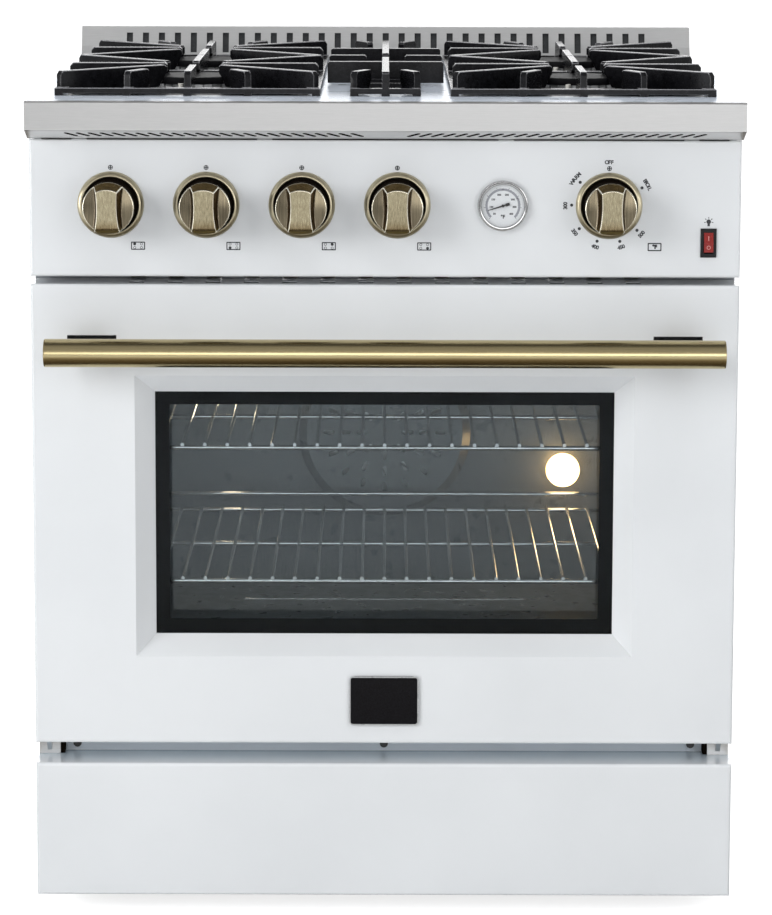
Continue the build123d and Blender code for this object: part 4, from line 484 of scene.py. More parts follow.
class Form:
    """A mesh gathered from closed shapes, all in the range's frame; each shape returns it."""

    def __init__(self):
        self.vertices = []
        self.faces = []

    def add(self, vertices, faces):
        first = len(self.vertices)
        self.vertices.extend(tuple(v) for v in vertices)
        self.faces.extend(tuple(first + i for i in face) for face in faces)
        return self

    def turn(self, profile, origin, axis=FRONT, across=RIGHT, segments=128):
        """A profile of (radius, height) pairs turned about an axis; its ends are closed."""
        beside = axis.cross(across)
        rings = []
        vertices = []
        for radius, height in profile:
            centre = origin + axis * height
            if radius < 1e-7:
                rings.append([len(vertices)])
                vertices.append(centre)
                continue
            rings.append(list(range(len(vertices), len(vertices) + segments)))
            for k in range(segments):
                angle = 2 * math.pi * k / segments
                outward = math.cos(angle) * across + math.sin(angle) * beside
                vertices.append(centre + radius * outward)
        faces = []
        for low, high in zip(rings, rings[1:]):
            for k in range(segments):
                n = (k + 1) % segments
                if len(low) == 1:
                    faces.append((low[0], high[n], high[k]))
                elif len(high) == 1:
                    faces.append((low[k], low[n], high[0]))
                else:
                    faces.append((low[k], low[n], high[n], high[k]))
        for ring in (rings[0], rings[-1]):
            if len(ring) > 1:
                faces.append(tuple(ring))
        return self.add(vertices, faces)

    def prism(self, near, far):
        """A closed prism between two outlines with the same number of points."""
        count = len(near)
        ends = [tuple(range(count)), tuple(range(2 * count - 1, count - 1, -1))]
        return self.add([*near, *far], ends + wall(0, count))

    def plate(self, outline, near, far):
        """A flat outline of (x, z) points between two depths."""
        return self.prism([(x, near, z) for x, z in outline], [(x, far, z) for x, z in outline])

    def beam(self, outline, left, right):
        """A (y, z) outline drawn out along X."""
        return self.prism([(left, y, z) for y, z in outline], [(right, y, z) for y, z in outline])

    def frame(self, outer, inner, near, far):
        """A flat frame between two outlines with the same number of points."""
        count = len(outer)
        vertices = [(x, depth, z) for outline in (outer, inner) for depth in (near, far)
                    for x, z in outline]
        faces = []
        for k in range(count):
            n = (k + 1) % count
            for a, b in ((0, 2), (3, 1), (1, 0), (2, 3)):
                faces.append((a * count + k, a * count + n, b * count + n, b * count + k))
        return self.add(vertices, faces)

    def ink(self, outline, face=PANEL_FACE):
        """A flat outline printed on a face, or on the control panel if none is given."""
        self.plate(outline, face, face - INK_PROUD)

    def ink_frame(self, outer, inner):
        self.frame(outer, inner, PANEL_FACE, PANEL_FACE - INK_PROUD)

    def piece(self, name, finish, body="range", slot="black_plastic", replaced=(),
              smooth_angle=40, bevel=None, origin=Vector((0, 0, 0))):
        mesh = bpy.data.meshes.new(name)
        mesh.from_pydata([tuple(Vector(v) - origin) for v in self.vertices], [], self.faces)
        sculpt = bmesh.new()
        sculpt.from_mesh(mesh)
        bmesh.ops.remove_doubles(sculpt, verts=sculpt.verts, dist=1e-6)
        bmesh.ops.recalc_face_normals(sculpt, faces=sculpt.faces)
        sculpt.to_mesh(mesh)
        sculpt.free()
        mesh.shade_smooth()
        mesh.set_sharp_from_angle(angle=math.radians(smooth_angle))
        mesh.materials.append(finish)
        piece = placed(name, mesh)
        piece.location = origin
        if bevel:
            soften(piece, bevel)
        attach(piece, body)
        if replaced:
            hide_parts(*replaced)
        return piece


def press_onto(form, node):
    """Moves printed vertices to just in front of a CAD node's own surface."""
    for k, (x, y, z) in enumerate(form.vertices):
        found, place, _, _ = node.ray_cast((x, -1.0, z), (0, 1, 0))
        if found:
            form.vertices[k] = (x, place.y + y, z)


def rounded(x_range, z_range, radius, steps=6):
    """A rectangle with round corners, as (x, z) points."""
    points = []
    corners = ((x_range[1], z_range[1], 0), (x_range[0], z_range[1], 90),
               (x_range[0], z_range[0], 180), (x_range[1], z_range[0], 270))
    for x, z, start in corners:
        centre_x = x - math.copysign(radius, x - sum(x_range) / 2)
        centre_z = z - math.copysign(radius, z - sum(z_range) / 2)
        for k in range(steps + 1):
            sin, cos = sine_cosine(start + 90 * k / steps)
            points.append((centre_x + radius * cos, centre_z + radius * sin))
    return points


def rectangle(x_range, z_range):
    return [(x_range[0], z_range[0]), (x_range[1], z_range[0]), (x_range[1], z_range[1]),
            (x_range[0], z_range[1])]


def circle(x, z, radius, count=32):
    angles = [2 * math.pi * k / count for k in range(count)]
    return [(x + radius * math.cos(angle), z + radius * math.sin(angle)) for angle in angles]


def on_dial(centre, radius, clockwise):
    """A point round a dial, its angle in degrees clockwise from the top."""
    sin, cos = sine_cosine(clockwise)
    return centre.x + radius * sin, centre.z + radius * cos


CAPITAL_SHARE = 0.69    # a capital's height over the font's size


def lettering(form, text, height, x, z, face=PANEL_FACE, turn=0.0, weight=0.07):
    """Adds printed letters to a form: text centred at (x, z), turned counter-clockwise."""
    curve = bpy.data.curves.new("lettering", "FONT")
    curve.body = text
    curve.size = height / CAPITAL_SHARE
    curve.align_x = curve.align_y = "CENTER"
    curve.extrude = INK_PROUD / 2
    curve.offset = weight * height
    curve.resolution_u = 3
    holder = placed("lettering", curve)
    graph = bpy.context.evaluated_depsgraph_get()
    drawn = bpy.data.meshes.new_from_object(holder.evaluated_get(graph))
    sin, cos = sine_cosine(turn)
    vertices = [(x + v.co.x * cos - v.co.y * sin, face - INK_PROUD / 2 - v.co.z,
                 z + v.co.x * sin + v.co.y * cos) for v in drawn.vertices]
    form.add(vertices, [tuple(p.vertices) for p in drawn.polygons])
    bpy.data.objects.remove(holder)
    bpy.data.curves.remove(curve)
    bpy.data.meshes.remove(drawn)


def dial_band(form, centre, radii, start, stop, face, steps):
    """A band printed round a dial between two clockwise angles."""
    near, far = radii
    for k in range(steps):
        a = start + (stop - start) * k / steps
        b = start + (stop - start) * (k + 1) / steps
        form.ink([on_dial(centre, near, a), on_dial(centre, far, a),
                  on_dial(centre, far, b), on_dial(centre, near, b)], face)


# ---- knobs and bezels
# SKIRT, HEAD and SHOULDER[0] stand proud of the panel; SHOULDER[1] is over the axis.
KNOB_RADIUS = 27.2 * MM
SKIRT = 36.0 * MM
HEAD_RADIUS = 22.0 * MM
HEAD = 61.0 * MM
SHOULDER = (52.8 * MM, -20.5 * MM)
FOOT_HALF = 13.5 * MM
FACE_HALF = 10.0 * MM
WAIST_CURVE = 280.0 * MM
FILLET = 1.6 * MM
FOOT_PROUD = SKIRT + 0.8 * MM
FOOT_SLOPE = 3.0


def cone_radius(proud):
    return KNOB_RADIUS + (HEAD_RADIUS - KNOB_RADIUS) * (proud - SKIRT) / (HEAD - SKIRT)


def grip_front(z):
    """How far the grip stands proud at a height: a roll at the foot, then the leaning face."""
    shoulder_proud, shoulder_z = SHOULDER
    slope = (HEAD - shoulder_proud) / (HEAD_RADIUS - shoulder_z)
    if z > shoulder_z:
        return shoulder_proud + slope * (z - shoulder_z)
    drop = shoulder_z + KNOB_RADIUS
    t = max(0.0, (z + KNOB_RADIUS) / drop)
    start, end = (2 * t ** 3 - 3 * t ** 2 + 1), (3 * t ** 2 - 2 * t ** 3)
    start_pull, end_pull = (t ** 3 - 2 * t ** 2 + t), (t ** 3 - t ** 2)
    return (start * FOOT_PROUD + end * shoulder_proud + start_pull * drop * FOOT_SLOPE
            + end_pull * drop * slope)


def grip_half(z, proud):
    """Half the grip's width at a height and a distance proud of the panel."""
    lean = (proud - SKIRT) / (HEAD - SKIRT)
    flare = 0.7 * FILLET * max(0.0, 1 - (proud - SKIRT) / FILLET) ** 2
    return FOOT_HALF + (FACE_HALF - FOOT_HALF) * lean + z * z / WAIST_CURVE + flare


def grip_point(u, v, down):
    """A point of the grip: u across, v up, and down from its front (0) to the skirt (1)."""
    z = (v - 0.5) * 2 * KNOB_RADIUS
    for _ in range(6):
        front = grip_front(z)
        proud = front + (SKIRT - front) * down
        x = u * grip_half(z, proud)
        low = -math.sqrt(KNOB_RADIUS ** 2 - x * x)
        high = math.sqrt(cone_radius(proud) ** 2 - x * x)
        z = low + v * (high - low)
    return x, proud, z


def grip_shape(centre):
    """Vertices and faces of the waisted grip, open at the back where it meets the skirt."""
    across, upward = 12, 44
    drops = (0.0, 0.15, 0.35, 0.6, 0.8, 0.9, 0.95, 0.98, 1.0)
    row = across + 1
    front = [(2 * i / across - 1, j / upward, 0.0) for j in range(upward + 1) for i in range(row)]
    border = [(2 * i / across - 1, 0.0) for i in range(across)]
    border += [(1.0, j / upward) for j in range(upward)]
    border += [(1 - 2 * i / across, 1.0) for i in range(across)]
    border += [(-1.0, 1 - j / upward) for j in range(upward)]
    vertices = []
    for u, v, down in front + [(u, v, down) for down in drops for u, v in border]:
        x, proud, z = grip_point(u, v, down)
        vertices.append((centre.x + x, centre.y - proud, centre.z + z))
    faces = [(a, a + 1, a + row + 1, a + row)
             for j in range(upward) for a in range(j * row, j * row + across)]
    for level in range(len(drops) - 1):
        faces += wall(len(front) + level * len(border), len(border))
    return vertices, faces


CAP_DEPTH = 1.6 * MM
HUB_RADIUS = 8.0 * MM
DRUM_RADIUS = KNOB_RADIUS - 0.15 * MM
DRUM_BACK = -0.9 * MM
FACE_EDGE = 0.9 * MM
FACE_MIDWAY = 0.25 * MM
WALL_MARGIN = 0.3 * MM


def make_knob(name):
    """A black moulded drum, its brass face and the grip that stands on it."""
    centre = knob_axis(name)
    body = f"knob_{name}"
    cap = SKIRT - CAP_DEPTH
    drum = Form().turn([(HUB_RADIUS, DRUM_BACK), (KNOB_RADIUS - 0.5 * MM, DRUM_BACK),
                        (DRUM_RADIUS, -0.4 * MM), (DRUM_RADIUS, cap), (HUB_RADIUS, cap)], centre)
    drum.piece(body + "_drum", DRUM_BLACK, body, replaced=(body,))
    face = Form().turn([(HUB_RADIUS, cap), (KNOB_RADIUS, cap), (KNOB_RADIUS, SKIRT - FACE_EDGE),
                        (KNOB_RADIUS - FACE_MIDWAY, SKIRT - FACE_MIDWAY),
                        (KNOB_RADIUS - FACE_EDGE, SKIRT), (0, SKIRT)], centre)
    disc = face.piece(body + "_face", SKIRT_BRASS, body, "antique_brass", smooth_angle=50)
    disc.data.materials.append(POLISHED_HIGHLIGHT)
    # the face's rounded edge takes the polished edge with its painted highlight
    for polygon in disc.data.polygons:
        if 0.2 < abs(polygon.normal.y) < 0.98:
            polygon.material_index = 1
    form = Form().add(*grip_shape(centre))
    grip = form.piece(body + "_grip", KNOB_BRASS, body, "antique_brass", bevel=1.3 * MM)
    for finish in (POLISHED_HIGHLIGHT, DARK_BRASS, SHADED_FOOT_BRASS):    # materials 1, 2 and 3
        grip.data.materials.append(finish)
    grip.modifiers["edges"].material = 1
    for polygon in grip.data.polygons:
        proud = centre.y - polygon.center.y
        if proud < grip_front(polygon.center.z - centre.z) - WALL_MARGIN:
            polygon.material_index = 2
        # the roll at the foot takes the painted shade
        if polygon.center.z - centre.z < SHOULDER[1]:
            polygon.material_index = 3


# Radius and height over the panel's face, in millimetres.
BEZEL_PROFILE = ((35.5, 0.05), (35.5, 1.0), (35.0, 2.6), (34.0, 4.2), (32.6, 5.4), (31.2, 6.0),
                 (30.0, 5.9), (29.3, 5.3), (29.0, 4.4), (29.0, 0.05))
CUP_PROFILE = ((28.95, 3.9), (28.4, 3.9), (28.4, -6.5), (6.0, -6.5), (6.0, -7.2),
               (28.95, -7.2), (28.95, 3.9))

for knob_name in KNOBS:
    make_knob(knob_name)
    centre = knob_axis(knob_name)
    ring = Form().turn(in_mm(BEZEL_PROFILE), centre)
    ring.piece(f"bezel_{knob_name}", SHADED_RING_BRASS, "range", "antique_brass",
               replaced=("knob_bezels",), origin=centre)
    cup = Form().turn(in_mm(CUP_PROFILE), centre, segments=96)
    cup.piece(f"cup_{knob_name}", DRUM_BLACK)

# ---- door handle
bar_low, bar_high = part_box("door_handle")
bar_radius = (bar_high.z - bar_low.z) / 2 - 0.06 * MM
bar_centre = (bar_low + bar_high) / 2
bar_half = (bar_high.x - bar_low.x) / 2
END_ROUND = 1.0 * MM
handle_profile = [(0, -bar_half), (bar_radius - 2.6 * MM, -bar_half),
                  (bar_radius - END_ROUND, -bar_half),
                  (bar_radius - 0.3 * END_ROUND, -bar_half + 0.3 * END_ROUND),
                  (bar_radius, -bar_half + END_ROUND), (bar_radius, -bar_half + 2 * END_ROUND)]
handle_profile += [(r, -h) for r, h in reversed(handle_profile)]
handle = Form().turn(handle_profile, bar_centre, axis=RIGHT, across=UP)
handle.piece("handle_bar", FINISHES["antique_brass"], "door", "antique_brass",
             replaced=("door_handle",))

# The top edge of each post's cut-out in the door skin is turned in.
POST_INSET = 46 * MM
CUT_OUT = (52.6 * MM, 27 * MM)
TURN_IN = 2.0 * MM
skin_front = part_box("door_skin")[0].y
cut_top = bar_centre.z + CUT_OUT[1] / 2
near, far = skin_front + 0.02 * MM, skin_front + 0.5 * MM
turned_edges = Form()
for side in (-1, 1):
    post_x = bar_centre.x + side * (bar_half - POST_INSET)
    turned_edges.beam([(near, cut_top), (near, cut_top - TURN_IN),
                       (far, cut_top - TURN_IN), (far, cut_top)],
                      post_x - CUT_OUT[0] / 2, post_x + CUT_OUT[0] / 2)
turned_edges.piece("post_cut_out_edges", FINISHES["white_enamel"], "door", "white_enamel")

# ---- panel printing
marks = Form()


def ring_mark(x, z, radius, line):
    marks.ink_frame(circle(x, z, radius), circle(x, z, radius - line))


def bar_mark(x, z, half_x, half_z):
    marks.ink(rectangle((x - half_x, x + half_x), (z - half_z, z + half_z)))


def box_mark(x, z, half_x, line, inner_radius):
    """A printed box with round corners."""
    inner_x, inner_z = half_x - line, BOX_HALF_Z - line
    marks.ink_frame(rounded((x - half_x, x + half_x), (z - BOX_HALF_Z, z + BOX_HALF_Z),
                            0.8 * MM, 3),
                    rounded((x - inner_x, x + inner_x), (z - inner_z, z + inner_z),
                            inner_radius, 3))


def pilot_mark(x, z):
    """A small ring with a cross in it: where the knob's head points when off."""
    ring_mark(x, z, 2.6 * MM, 0.8 * MM)
    bar_mark(x, z, 0.6 * MM, 1.9 * MM)
    bar_mark(x, z, 1.9 * MM, 0.45 * MM)


def burner_icon(x, z, lit):
    """A little plan of the cooktop with one burner filled in."""
    box_mark(x, z, 7.5 * MM, 1.1 * MM, 0.6 * MM)
    for burner in ((-1, -1), (-1, 1), (1, -1), (1, 1)):
        dot_x, dot_z = x + burner[0] * 3.6 * MM, z + burner[1] * 2.0 * MM
        if burner == lit:
            marks.ink(circle(dot_x, dot_z, 1.6 * MM, 20))
        else:
            ring_mark(dot_x, dot_z, 1.45 * MM, 0.5 * MM)


def dial_word(word, clockwise, length):
    """Prints a word letter by letter along the oven's dial, upright at its foot as well."""
    at_foot = 90 < clockwise < 270
    step = math.degrees(length / len(word) / LABEL_RADIUS)
    for k, letter in enumerate(word):
        offset = (k - (len(word) - 1) / 2) * step
        angle = clockwise - offset if at_foot else clockwise + offset
        x, z = on_dial(dial, LABEL_RADIUS, angle)
        lettering(marks, letter, CAPITAL, x, z, turn=180 - angle if at_foot else -angle)


LIT = {"rear_left": (-1, 1), "front_left": (-1, -1), "rear_right": (1, 1), "front_right": (1, -1)}
MARK_RADIUS = 39.8 * MM
LABEL_RADIUS = 46.4 * MM
ICON_DROP = 44 * MM
BOX_HALF_Z = 4.4 * MM
CAPITAL = 3.9 * MM
for knob_name in KNOBS:
    centre = knob_axis(knob_name)
    pilot_mark(centre.x, centre.z + MARK_RADIUS)
    if knob_name in LIT:
        burner_icon(centre.x + 28.8 * MM, centre.z - ICON_DROP, LIT[knob_name])

dial = knob_axis("oven")
for clockwise in (61, 131, 162.6, 198, 232, 271, 309):
    marks.ink(circle(*on_dial(dial, MARK_RADIUS, clockwise), 1.7 * MM, 16))
for word, clockwise, length in (
        ("OFF", 0, 8.4), ("500", 131, 7.8), ("450", 163, 7.8), ("400", 198, 7.8),
        ("350", 232, 7.8), ("300", 270, 7.8), ("WARM", 309, 14.7), ("BROIL", 61, 12.6)):
    dial_word(word, clockwise, length * MM)
unit_x, unit_z = dial.x + 49 * MM, dial.z - ICON_DROP
box_mark(unit_x, unit_z, 7.4 * MM, 1.25 * MM, 0.4 * MM)
lettering(marks, "°F", CAPITAL, unit_x, unit_z, weight=0.12)

# A lamp with five rays stands over the switch.
LAMP_RISE = 22 * MM
BULB_RISE = 0.8 * MM
RAY_REACH = (3.2 * MM, 5.0 * MM)
RAY_HALF = 0.4 * MM
lamp_x, switch_z = middle(*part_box("switch_housing"))
lamp_z = switch_z + LAMP_RISE
marks.ink(circle(lamp_x, lamp_z + BULB_RISE, 2.5 * MM, 24))
marks.ink(rectangle((lamp_x - 1.3 * MM, lamp_x + 1.3 * MM), (lamp_z - 4.0 * MM, lamp_z - 1.3 * MM)))
for clockwise in (-100, -50, 0, 50, 100):
    sin, cos = sine_cosine(clockwise)
    marks.ink([(lamp_x + RAY_REACH[end] * sin + side * RAY_HALF * cos,
                lamp_z + BULB_RISE + RAY_REACH[end] * cos - side * RAY_HALF * sin)
               for end, side in ((0, -1), (0, 1), (1, 1), (1, -1))])
marks.piece("panel_marks", PANEL_INK, smooth_angle=20)

# ---- thermometer
gauge_x, gauge_z = middle(*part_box("thermometer_case"))
gauge = Vector((gauge_x, PANEL_FACE, gauge_z))
RIM_PROFILE = ((27.0, 0.05), (27.0, 3.2), (26.8, 4.4), (26.3, 5.2), (25.8, 5.3), (25.5, 3.2),
               (25.1, 3.2), (24.9, 6.2), (24.3, 6.9), (23.5, 6.8), (22.9, 6.0), (22.6, 4.6),
               (22.6, 2.2), (12.0, 2.2), (12.0, -18.0))
rim = Form().turn(in_mm(RIM_PROFILE), gauge)
rim.piece("gauge_rim", RIM_STEEL, "range", "trim_steel", replaced=("thermometer_case",),
          origin=gauge)
FACE_PROUD = 3.0
GAUGE_FACE = PANEL_FACE - FACE_PROUD * MM
FACE_PROFILE = ((0, 2.4), (22.5, 2.4), (22.5, FACE_PROUD), (0, FACE_PROUD))
face_plate = Form().turn(in_mm(FACE_PROFILE), gauge, segments=96)
face_plate.piece("gauge_face", DIAL_WHITE, "range", "ceramic")

# The scale runs from 50 to 400 in seven steps of four parts.
SWEEP = 134
BAND = (16.2 * MM, 18.6 * MM)
STEPS, PARTS = 7, 4
band = Form()
dial_band(band, gauge, BAND, -SWEEP, SWEEP, GAUGE_FACE, 60)
band.piece("gauge_band", FAINT_INK, smooth_angle=20)
figures = Form()
for k in range(STEPS + 1):
    x, z = on_dial(gauge, 12.4 * MM, -SWEEP + 2 * SWEEP * k / STEPS)
    lettering(figures, str(50 + 50 * k), 1.9 * MM, x, z, GAUGE_FACE)
for k in range(STEPS * PARTS + 1):
    angle = -SWEEP + 2 * SWEEP * k / (STEPS * PARTS)
    half, tip = (0.35, 19.2 * MM) if k % PARTS else (0.6, 20.2 * MM)
    dial_band(figures, gauge, (BAND[1], tip), angle - half, angle + half, GAUGE_FACE, 1)
lettering(figures, "°F", 3.6 * MM, gauge.x, gauge.z - 11.8 * MM, GAUGE_FACE)
figures.piece("gauge_figures", PANEL_INK, smooth_angle=20)

NEEDLE_REST = 197
# One side of the needle: how far along it from the pivot, and its half width.
NEEDLE_SIDE = ((16.5, 0.35), (0, 0.85), (-3, 0.85), (-3.6, 1.6), (-7.5, 1.4))
NEEDLE_DEPTHS = (1.2 * MM, 1.7 * MM)
sin, cos = sine_cosine(NEEDLE_REST)
needle_outline = [*NEEDLE_SIDE, *((reach, -side) for reach, side in reversed(NEEDLE_SIDE))]
needle = Form().plate([(gauge.x + reach * cos - side * sin, gauge.z + reach * sin + side * cos)
                       for reach, side in in_mm(needle_outline)],
                      GAUGE_FACE - NEEDLE_DEPTHS[0], GAUGE_FACE - NEEDLE_DEPTHS[1])
needle.turn(in_mm(((0, 3.1), (1.5, 3.1), (1.5, 4.8), (1.0, 5.3), (0, 5.3))), gauge, segments=32)
needle.piece("gauge_needle", FINISHES["needle_black"], "needle", "needle_black",
             replaced=("thermometer_needle",), bevel=0.1 * MM)

# ---- painted shade behind slots and in the seam
# A sheet leans behind the backguard's slots, painted dark for the shade there.
guard_low, guard_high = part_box("backguard")
GUARD_BEND = (8 * MM, 15 * MM)
GUARD_LEAN = 16 * MM
BAFFLE_GAP = 3 * MM
BAFFLE_SHEET = 0.8 * MM
BAFFLE_INSET = 2 * MM
slope = [(guard_low.y + BAFFLE_GAP, guard_low.z + BAFFLE_SHEET),
         (guard_low.y + GUARD_BEND[0] + BAFFLE_GAP, guard_low.z + GUARD_BEND[1]),
         (guard_low.y + GUARD_LEAN + BAFFLE_GAP, guard_high.z - BAFFLE_INSET)]
baffle = Form().beam(slope + [(y + BAFFLE_SHEET, z) for y, z in reversed(slope)],
                     guard_low.x + BAFFLE_INSET, guard_high.x - BAFFLE_INSET)
baffle.piece("backguard_baffle", PAINTED_SHADE_SHEET, "range", "galvanised_steel")

# Painted shade: black plates make the slots under the trim's lip dark, and a black strip the shadow
# in the seam where the lip meets the panel.
LIP_OVERHANG = 31 * MM
LIP_DROP = 11.5 * MM
LIP_SLOT_PITCH = 12.6 * MM
LIP_SLOT_MIDDLE = 181 * MM
LIP_SLOTS = 25
SHADE_DEPTHS = (-0.06 * MM, -0.01 * MM)
SHADE = (18.5 * MM, 4.6 * MM)
trim_low = TRIM_BOX[0]
lip_angle = math.atan2(LIP_DROP, LIP_OVERHANG)
lip_in = Vector((0, math.sin(lip_angle), math.cos(lip_angle)))
lip_up = Vector((0, -math.cos(lip_angle), math.sin(lip_angle)))
lip_middle = Vector((0, trim_low.y + LIP_OVERHANG / 2, trim_low.z + LIP_DROP / 2))


def stadium(length, width, steps=8):
    """A slot with round ends, as points about its middle."""
    reach = (length - width) / 2
    points = []
    for end in (1, -1):
        for k in range(steps + 1):
            sin, cos = sine_cosine(-90 + 180 * k / steps)
            points.append((end * (reach + width / 2 * cos), end * width / 2 * sin))
    return points


shades = Form()
for side in (-1, 1):
    sin, cos = sine_cosine(45 * side)
    for k in range(LIP_SLOTS):
        along = side * LIP_SLOT_MIDDLE + (k - (LIP_SLOTS - 1) / 2) * LIP_SLOT_PITCH
        shades.prism(*([lip_middle + RIGHT * (along + a * cos - b * sin)
                        + lip_up * (a * sin + b * cos) + lip_in * depth
                        for a, b in stadium(*SHADE)] for depth in SHADE_DEPTHS))
shades.piece("trim_slot_painted_shade", DRUM_BLACK)

SEAM_TOP = trim_low.z - 0.05 * MM
SEAM = 1.0 * MM
SEAM_SPANS = ((-365, -333), (-317, -136), (-120, 120), (136, 317), (333, 365))
seam = Form()
for span in in_mm(SEAM_SPANS):
    seam.plate(rounded(span, (SEAM_TOP - SEAM, SEAM_TOP), 0.3 * MM, 2),
               PANEL_FACE + 0.2 * MM, PANEL_FACE - 0.15 * MM)
seam.piece("trim_seam_painted_shadow", DRUM_BLACK)

# ---- switch marks
BAR_HALF = 0.45 * MM
BAR_SPAN = (2.2 * MM, 7.2 * MM)
MARK_SUNK = 0.02 * MM
rocker_x, rocker_z = middle(*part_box("switch_rocker"))
ring_z = rocker_z - 5.0 * MM
switch_marks = Form()
switch_marks.plate(rectangle((rocker_x - BAR_HALF, rocker_x + BAR_HALF),
                             (rocker_z + BAR_SPAN[0], rocker_z + BAR_SPAN[1])),
                   MARK_SUNK, -INK_PROUD)
switch_marks.frame(circle(rocker_x, ring_z, 2.1 * MM), circle(rocker_x, ring_z, 1.5 * MM),
                   MARK_SUNK, -INK_PROUD)
press_onto(switch_marks, NODES["switch_rocker"])
switch_marks.piece("switch_marks", PALE_INK, "rocker", "red_plastic", smooth_angle=20)

# ---- badge rim, hinge stops, window border, oven rib
badge_low, badge_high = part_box("door_badge")
BADGE_LINE = 1.3 * MM
badge_rim = Form()
badge_rim.frame(rounded((badge_low.x, badge_high.x), (badge_low.z, badge_high.z), 3.5 * MM),
                rounded((badge_low.x + BADGE_LINE, badge_high.x - BADGE_LINE),
                        (badge_low.z + BADGE_LINE, badge_high.z - BADGE_LINE), 2.4 * MM),
                badge_low.y + 1.2 * MM, badge_low.y - 0.3 * MM)
badge_rim.piece("badge_rim", BADGE_SILVER, "door", "chrome_wire", bevel=0.25 * MM)

# A black block stands beside each hinge bracket, in the gap under the door.
bracket_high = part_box("hinge_brackets")[1]
BRACKET_WIDTH = 23 * MM
BLOCK_GAPS = (0.15 * MM, 5.0 * MM)
BLOCK_DEPTH = 14 * MM
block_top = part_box("door_skin")[0].z - 3.2 * MM
inner = bracket_high.x - BRACKET_WIDTH
stops = Form()
for side in (-1, 1):
    block_x = sorted(side * (inner - gap) for gap in BLOCK_GAPS)
    stops.plate(rounded(block_x, (KICK_BOX[1].z + 0.3 * MM, block_top), 0.9 * MM, 4),
                bracket_high.y - 0.2 * MM, bracket_high.y - BLOCK_DEPTH)
stops.piece("bracket_black_blocks", DRUM_BLACK, bevel=0.3 * MM)

# The black border printed on the back of the outer pane.
CLEAR_X = 232.4 * MM
CLEAR_Z = (332.4 * MM, 568.6 * MM)
FRIT_DEPTHS = (0.05 * MM, 0.35 * MM)
glass_low, glass_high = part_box("door_glass_outer")
frit = Form()
frit.frame(rounded((glass_low.x, glass_high.x), (glass_low.z, glass_high.z), 2 * MM),
           rounded((-CLEAR_X, CLEAR_X), CLEAR_Z, 2 * MM),
           glass_high.y + FRIT_DEPTHS[0], glass_high.y + FRIT_DEPTHS[1])
frit.piece("window_frit", FRIT, "door", "badge_black")

# A bright rib across the oven floor.
RIB_HALF = 168 * MM
RIB_Y = 120 * MM
RIB_RADIUS = 1.3 * MM
floor_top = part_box("oven_floor")[1].z
rib_profile = [(0, -RIB_HALF), (RIB_RADIUS, -RIB_HALF), (RIB_RADIUS, RIB_HALF), (0, RIB_HALF)]
rib = Form().turn(rib_profile, Vector((0, RIB_Y, floor_top + 0.5 * MM)), axis=RIGHT, across=UP,
                  segments=24)
rib.piece("oven_floor_rib", FINISHES["chrome_wire"], "range", "oven_enamel")


# ---- studio
def area_light(name, place, target, size, power, colour=(1, 1, 1)):
    light = bpy.data.lights.new(name, "AREA")
    light.shape = "RECTANGLE"
    light.size, light.size_y = size
    light.energy = power
    light.color = colour
    holder = placed(name, light)
    holder.location = place
    aim = Vector(target) - Vector(place)
    holder.rotation_euler = aim.to_track_quat("-Z", "Y").to_euler()
    return holder


def hide_from(light, *rays):
    """Keeps a light out of what some kinds of ray meet."""
    for ray in rays:
        setattr(light, "visible_" + ray, False)


def oven_light(name, place, power, radius):
    """A small warm light; neither the camera nor the glass shows it."""
    light = bpy.data.lights.new(name, "POINT")
    light.energy = power
    light.color = LAMP_COLOUR
    light.shadow_soft_size = radius
    holder = placed(name, light)
    holder.location = place
    hide_from(holder, "camera", "transmission")
    return holder


def studio_world(lit, seen, mirrored):
    """A white room; what the metal mirrors is bright at eye level and dim overhead."""
    world = bpy.data.worlds.new("studio")
    world.use_nodes = True
    tree = world.node_tree
    tree.nodes.clear()
    rays = add_node(tree, "ShaderNodeLightPath").outputs
    direction = add_node(tree, "ShaderNodeTexCoord").outputs["Generated"]
    height = add_node(tree, "ShaderNodeSeparateXYZ", {0: direction}).outputs["Z"]
    white = (0.975, 0.99, 1.0, 1)
    room, glossy, behind = (
        add_node(tree, "ShaderNodeBackground", {"Color": colour, "Strength": strength}).outputs[0]
        for colour, strength in ((white, lit), (add_ramp(tree, height, mirrored), 1.0),
                                 (white, seen)))
    for ray, shader in (("Is Glossy Ray", glossy), ("Is Camera Ray", behind)):
        room = add_node(tree, "ShaderNodeMixShader", {0: rays[ray], 1: room, 2: shader}).outputs[0]
    add_node(tree, "ShaderNodeOutputWorld", {"Surface": room})
    bpy.context.scene.world = world


FLOOR_HALF = 60.0
FLOOR_WHITE = (0.90, 0.90, 0.90, 1)
FLOOR_LIFT = 0.78
# What the metal mirrors of the floor, by the distance from the range in units of 5 m; the darkening
# near the range is painted shade.
FLOOR_MIRRORED = ((0.07, (0.03, 0.022, 0.012)), (0.14, (0.085, 0.065, 0.04)),
                  (0.22, (0.19, 0.155, 0.11)), (0.30, (0.40, 0.36, 0.30)),
                  (0.42, 0.82), (0.6, 0.95))


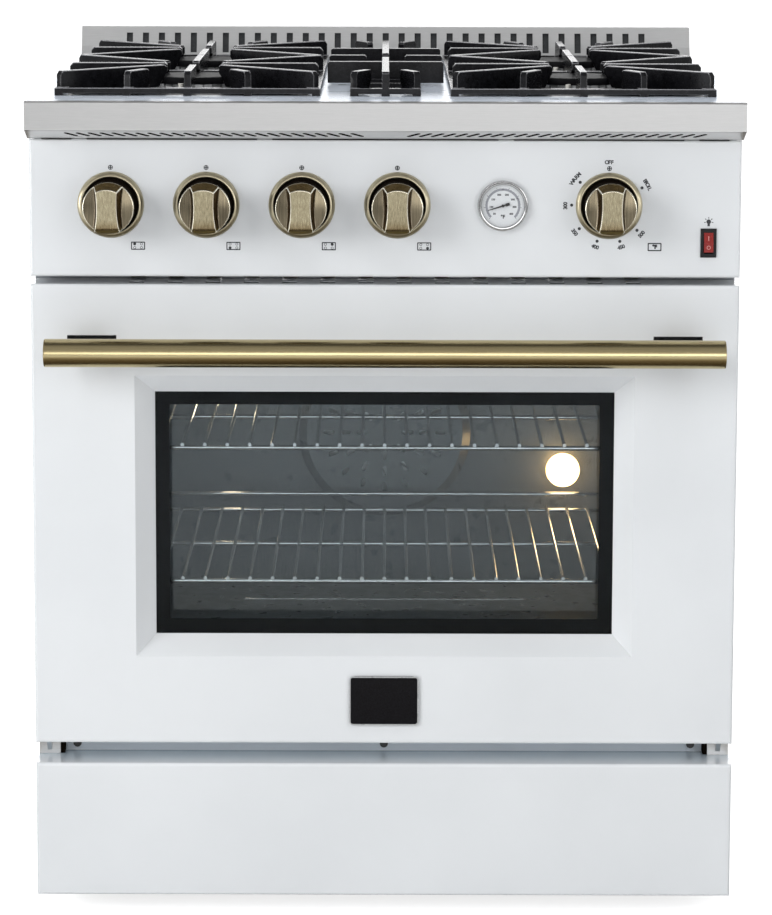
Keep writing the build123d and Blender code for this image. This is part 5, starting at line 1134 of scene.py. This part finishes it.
def make_floor():
    """A pale floor; its mirror image in the metal has painted shade, darkening towards the foot of
    the range.
    """
    corners = [(x * FLOOR_HALF, y * FLOOR_HALF, 0) for x, y in ((-1, -1), (1, -1), (1, 1), (-1, 1))]
    mesh = bpy.data.meshes.new("floor")
    mesh.from_pydata(corners, [], [(0, 1, 2, 3)])
    floor = placed("floor", mesh)
    finish = Finish("floor", Roughness=0.9, Specular_IOR_Level=0.0, Emission_Color=(1, 1, 1, 1))
    rays = finish.node("ShaderNodeLightPath").outputs
    mirrored = finish.ramp(finish.distance((0.2, 0.2, 0.0)), *FLOOR_MIRRORED)
    choice = finish.node("ShaderNodeMix",
                         {0: rays["Is Glossy Ray"], 6: FLOOR_WHITE, 7: mirrored},
                         data_type="RGBA")
    finish.shade("Base Color", choice.outputs[2])
    finish.shade("Emission Strength",
                 finish.sum(rays["Is Camera Ray"], FLOOR_LIFT, "MULTIPLY"))
    mesh.materials.append(finish.material)


make_floor()
studio_world(0.50, 1.1, ((0.0, 0.95), (0.08, 0.8), (0.2, 0.6), (0.45, 0.42), (0.9, 0.34),
                         (0.98, 0.07)))
# Only gloss shows the strips. The room lights light everything, and gloss doesn't show them.
STRIPS = (
    ("front_strip", (1.6, -4.6, 1.06), (1.6, 0, 1.06), (5.0, 1.05), 42),
    ("left_strip", (-3.4, -1.4, 0.9), (0, -0.3, 0.75), (1.6, 1.4), 36),
    ("right_strip", (3.4, -1.4, 0.9), (0, -0.3, 0.75), (1.2, 1.2), 14),
    ("back_strip", (0, 5.0, 1.75), (0, 0, 0.95), (9.0, 1.0), 62),
)
ROOM_LIGHTS = (
    ("key", (-3.0, -2.6, 1.9), (0, -0.2, 0.5), (2.0, 1.8), 81),
    ("fill", (2.6, -3.2, 1.4), (0, -0.2, 0.5), (1.6, 2.0), 26),
    ("top", (0, -0.6, 3.2), (0, -0.2, 0.9), (2.2, 1.6), 34),
)
for row in STRIPS:
    hide_from(area_light(*row), "diffuse", "camera")
for row in ROOM_LIGHTS:
    hide_from(area_light(*row), "glossy")

# The lamp warms the wall beside it, and glints run along the rack wires near it.
LAMP_COLOUR = (1.0, 0.78, 0.5)
lamp_low, lamp_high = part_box("oven_lamp")
globe_x, globe_z = middle(lamp_low, lamp_high)
lamp_front = (globe_x, lamp_low.y - 0.03, globe_z)
far_left = (-0.19, lamp_front[1], globe_z + 0.10)
oven_light("oven_glow", lamp_front, 0.06, 0.018)
hide_from(oven_light("oven_glint_right", lamp_front, 0.14, 0.010), "diffuse")
hide_from(oven_light("oven_glint_left", far_left, 0.20, 0.012), "diffuse")

# Room light that comes in through the window.
WINDOW_HEIGHT = 0.45
cavity_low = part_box("oven_cavity")[0]
daylight = area_light("window_light", (0.0, cavity_low.y + 0.01, WINDOW_HEIGHT),
                      (0.0, 0.2, WINDOW_HEIGHT), (0.54, 0.30), 0.95, (0.88, 0.98, 0.98))
hide_from(daylight, "camera", "glossy", "transmission")

# ---- camera
CAMERA_PLACE = (0.0, -3.886, 1.180)
CAMERA_TILT = 7.918
CAMERA_ROLL = 0.15
camera_data = bpy.data.cameras.new("camera")
camera_data.lens = 133.14
camera_data.sensor_width = 36.0
camera_data.shift_x, camera_data.shift_y = 0.0011, -0.168
camera_data.clip_end = 300.0
camera = placed("camera", camera_data)
camera.matrix_world = (Matrix.Translation(CAMERA_PLACE)
                       @ Matrix.Rotation(math.radians(90 - CAMERA_TILT), 4, "X")
                       @ Matrix.Rotation(math.radians(CAMERA_ROLL), 4, "Z"))
bpy.context.scene.camera = camera
bpy.context.scene.view_settings.view_transform = "Standard"

bpy.context.view_layer.update()
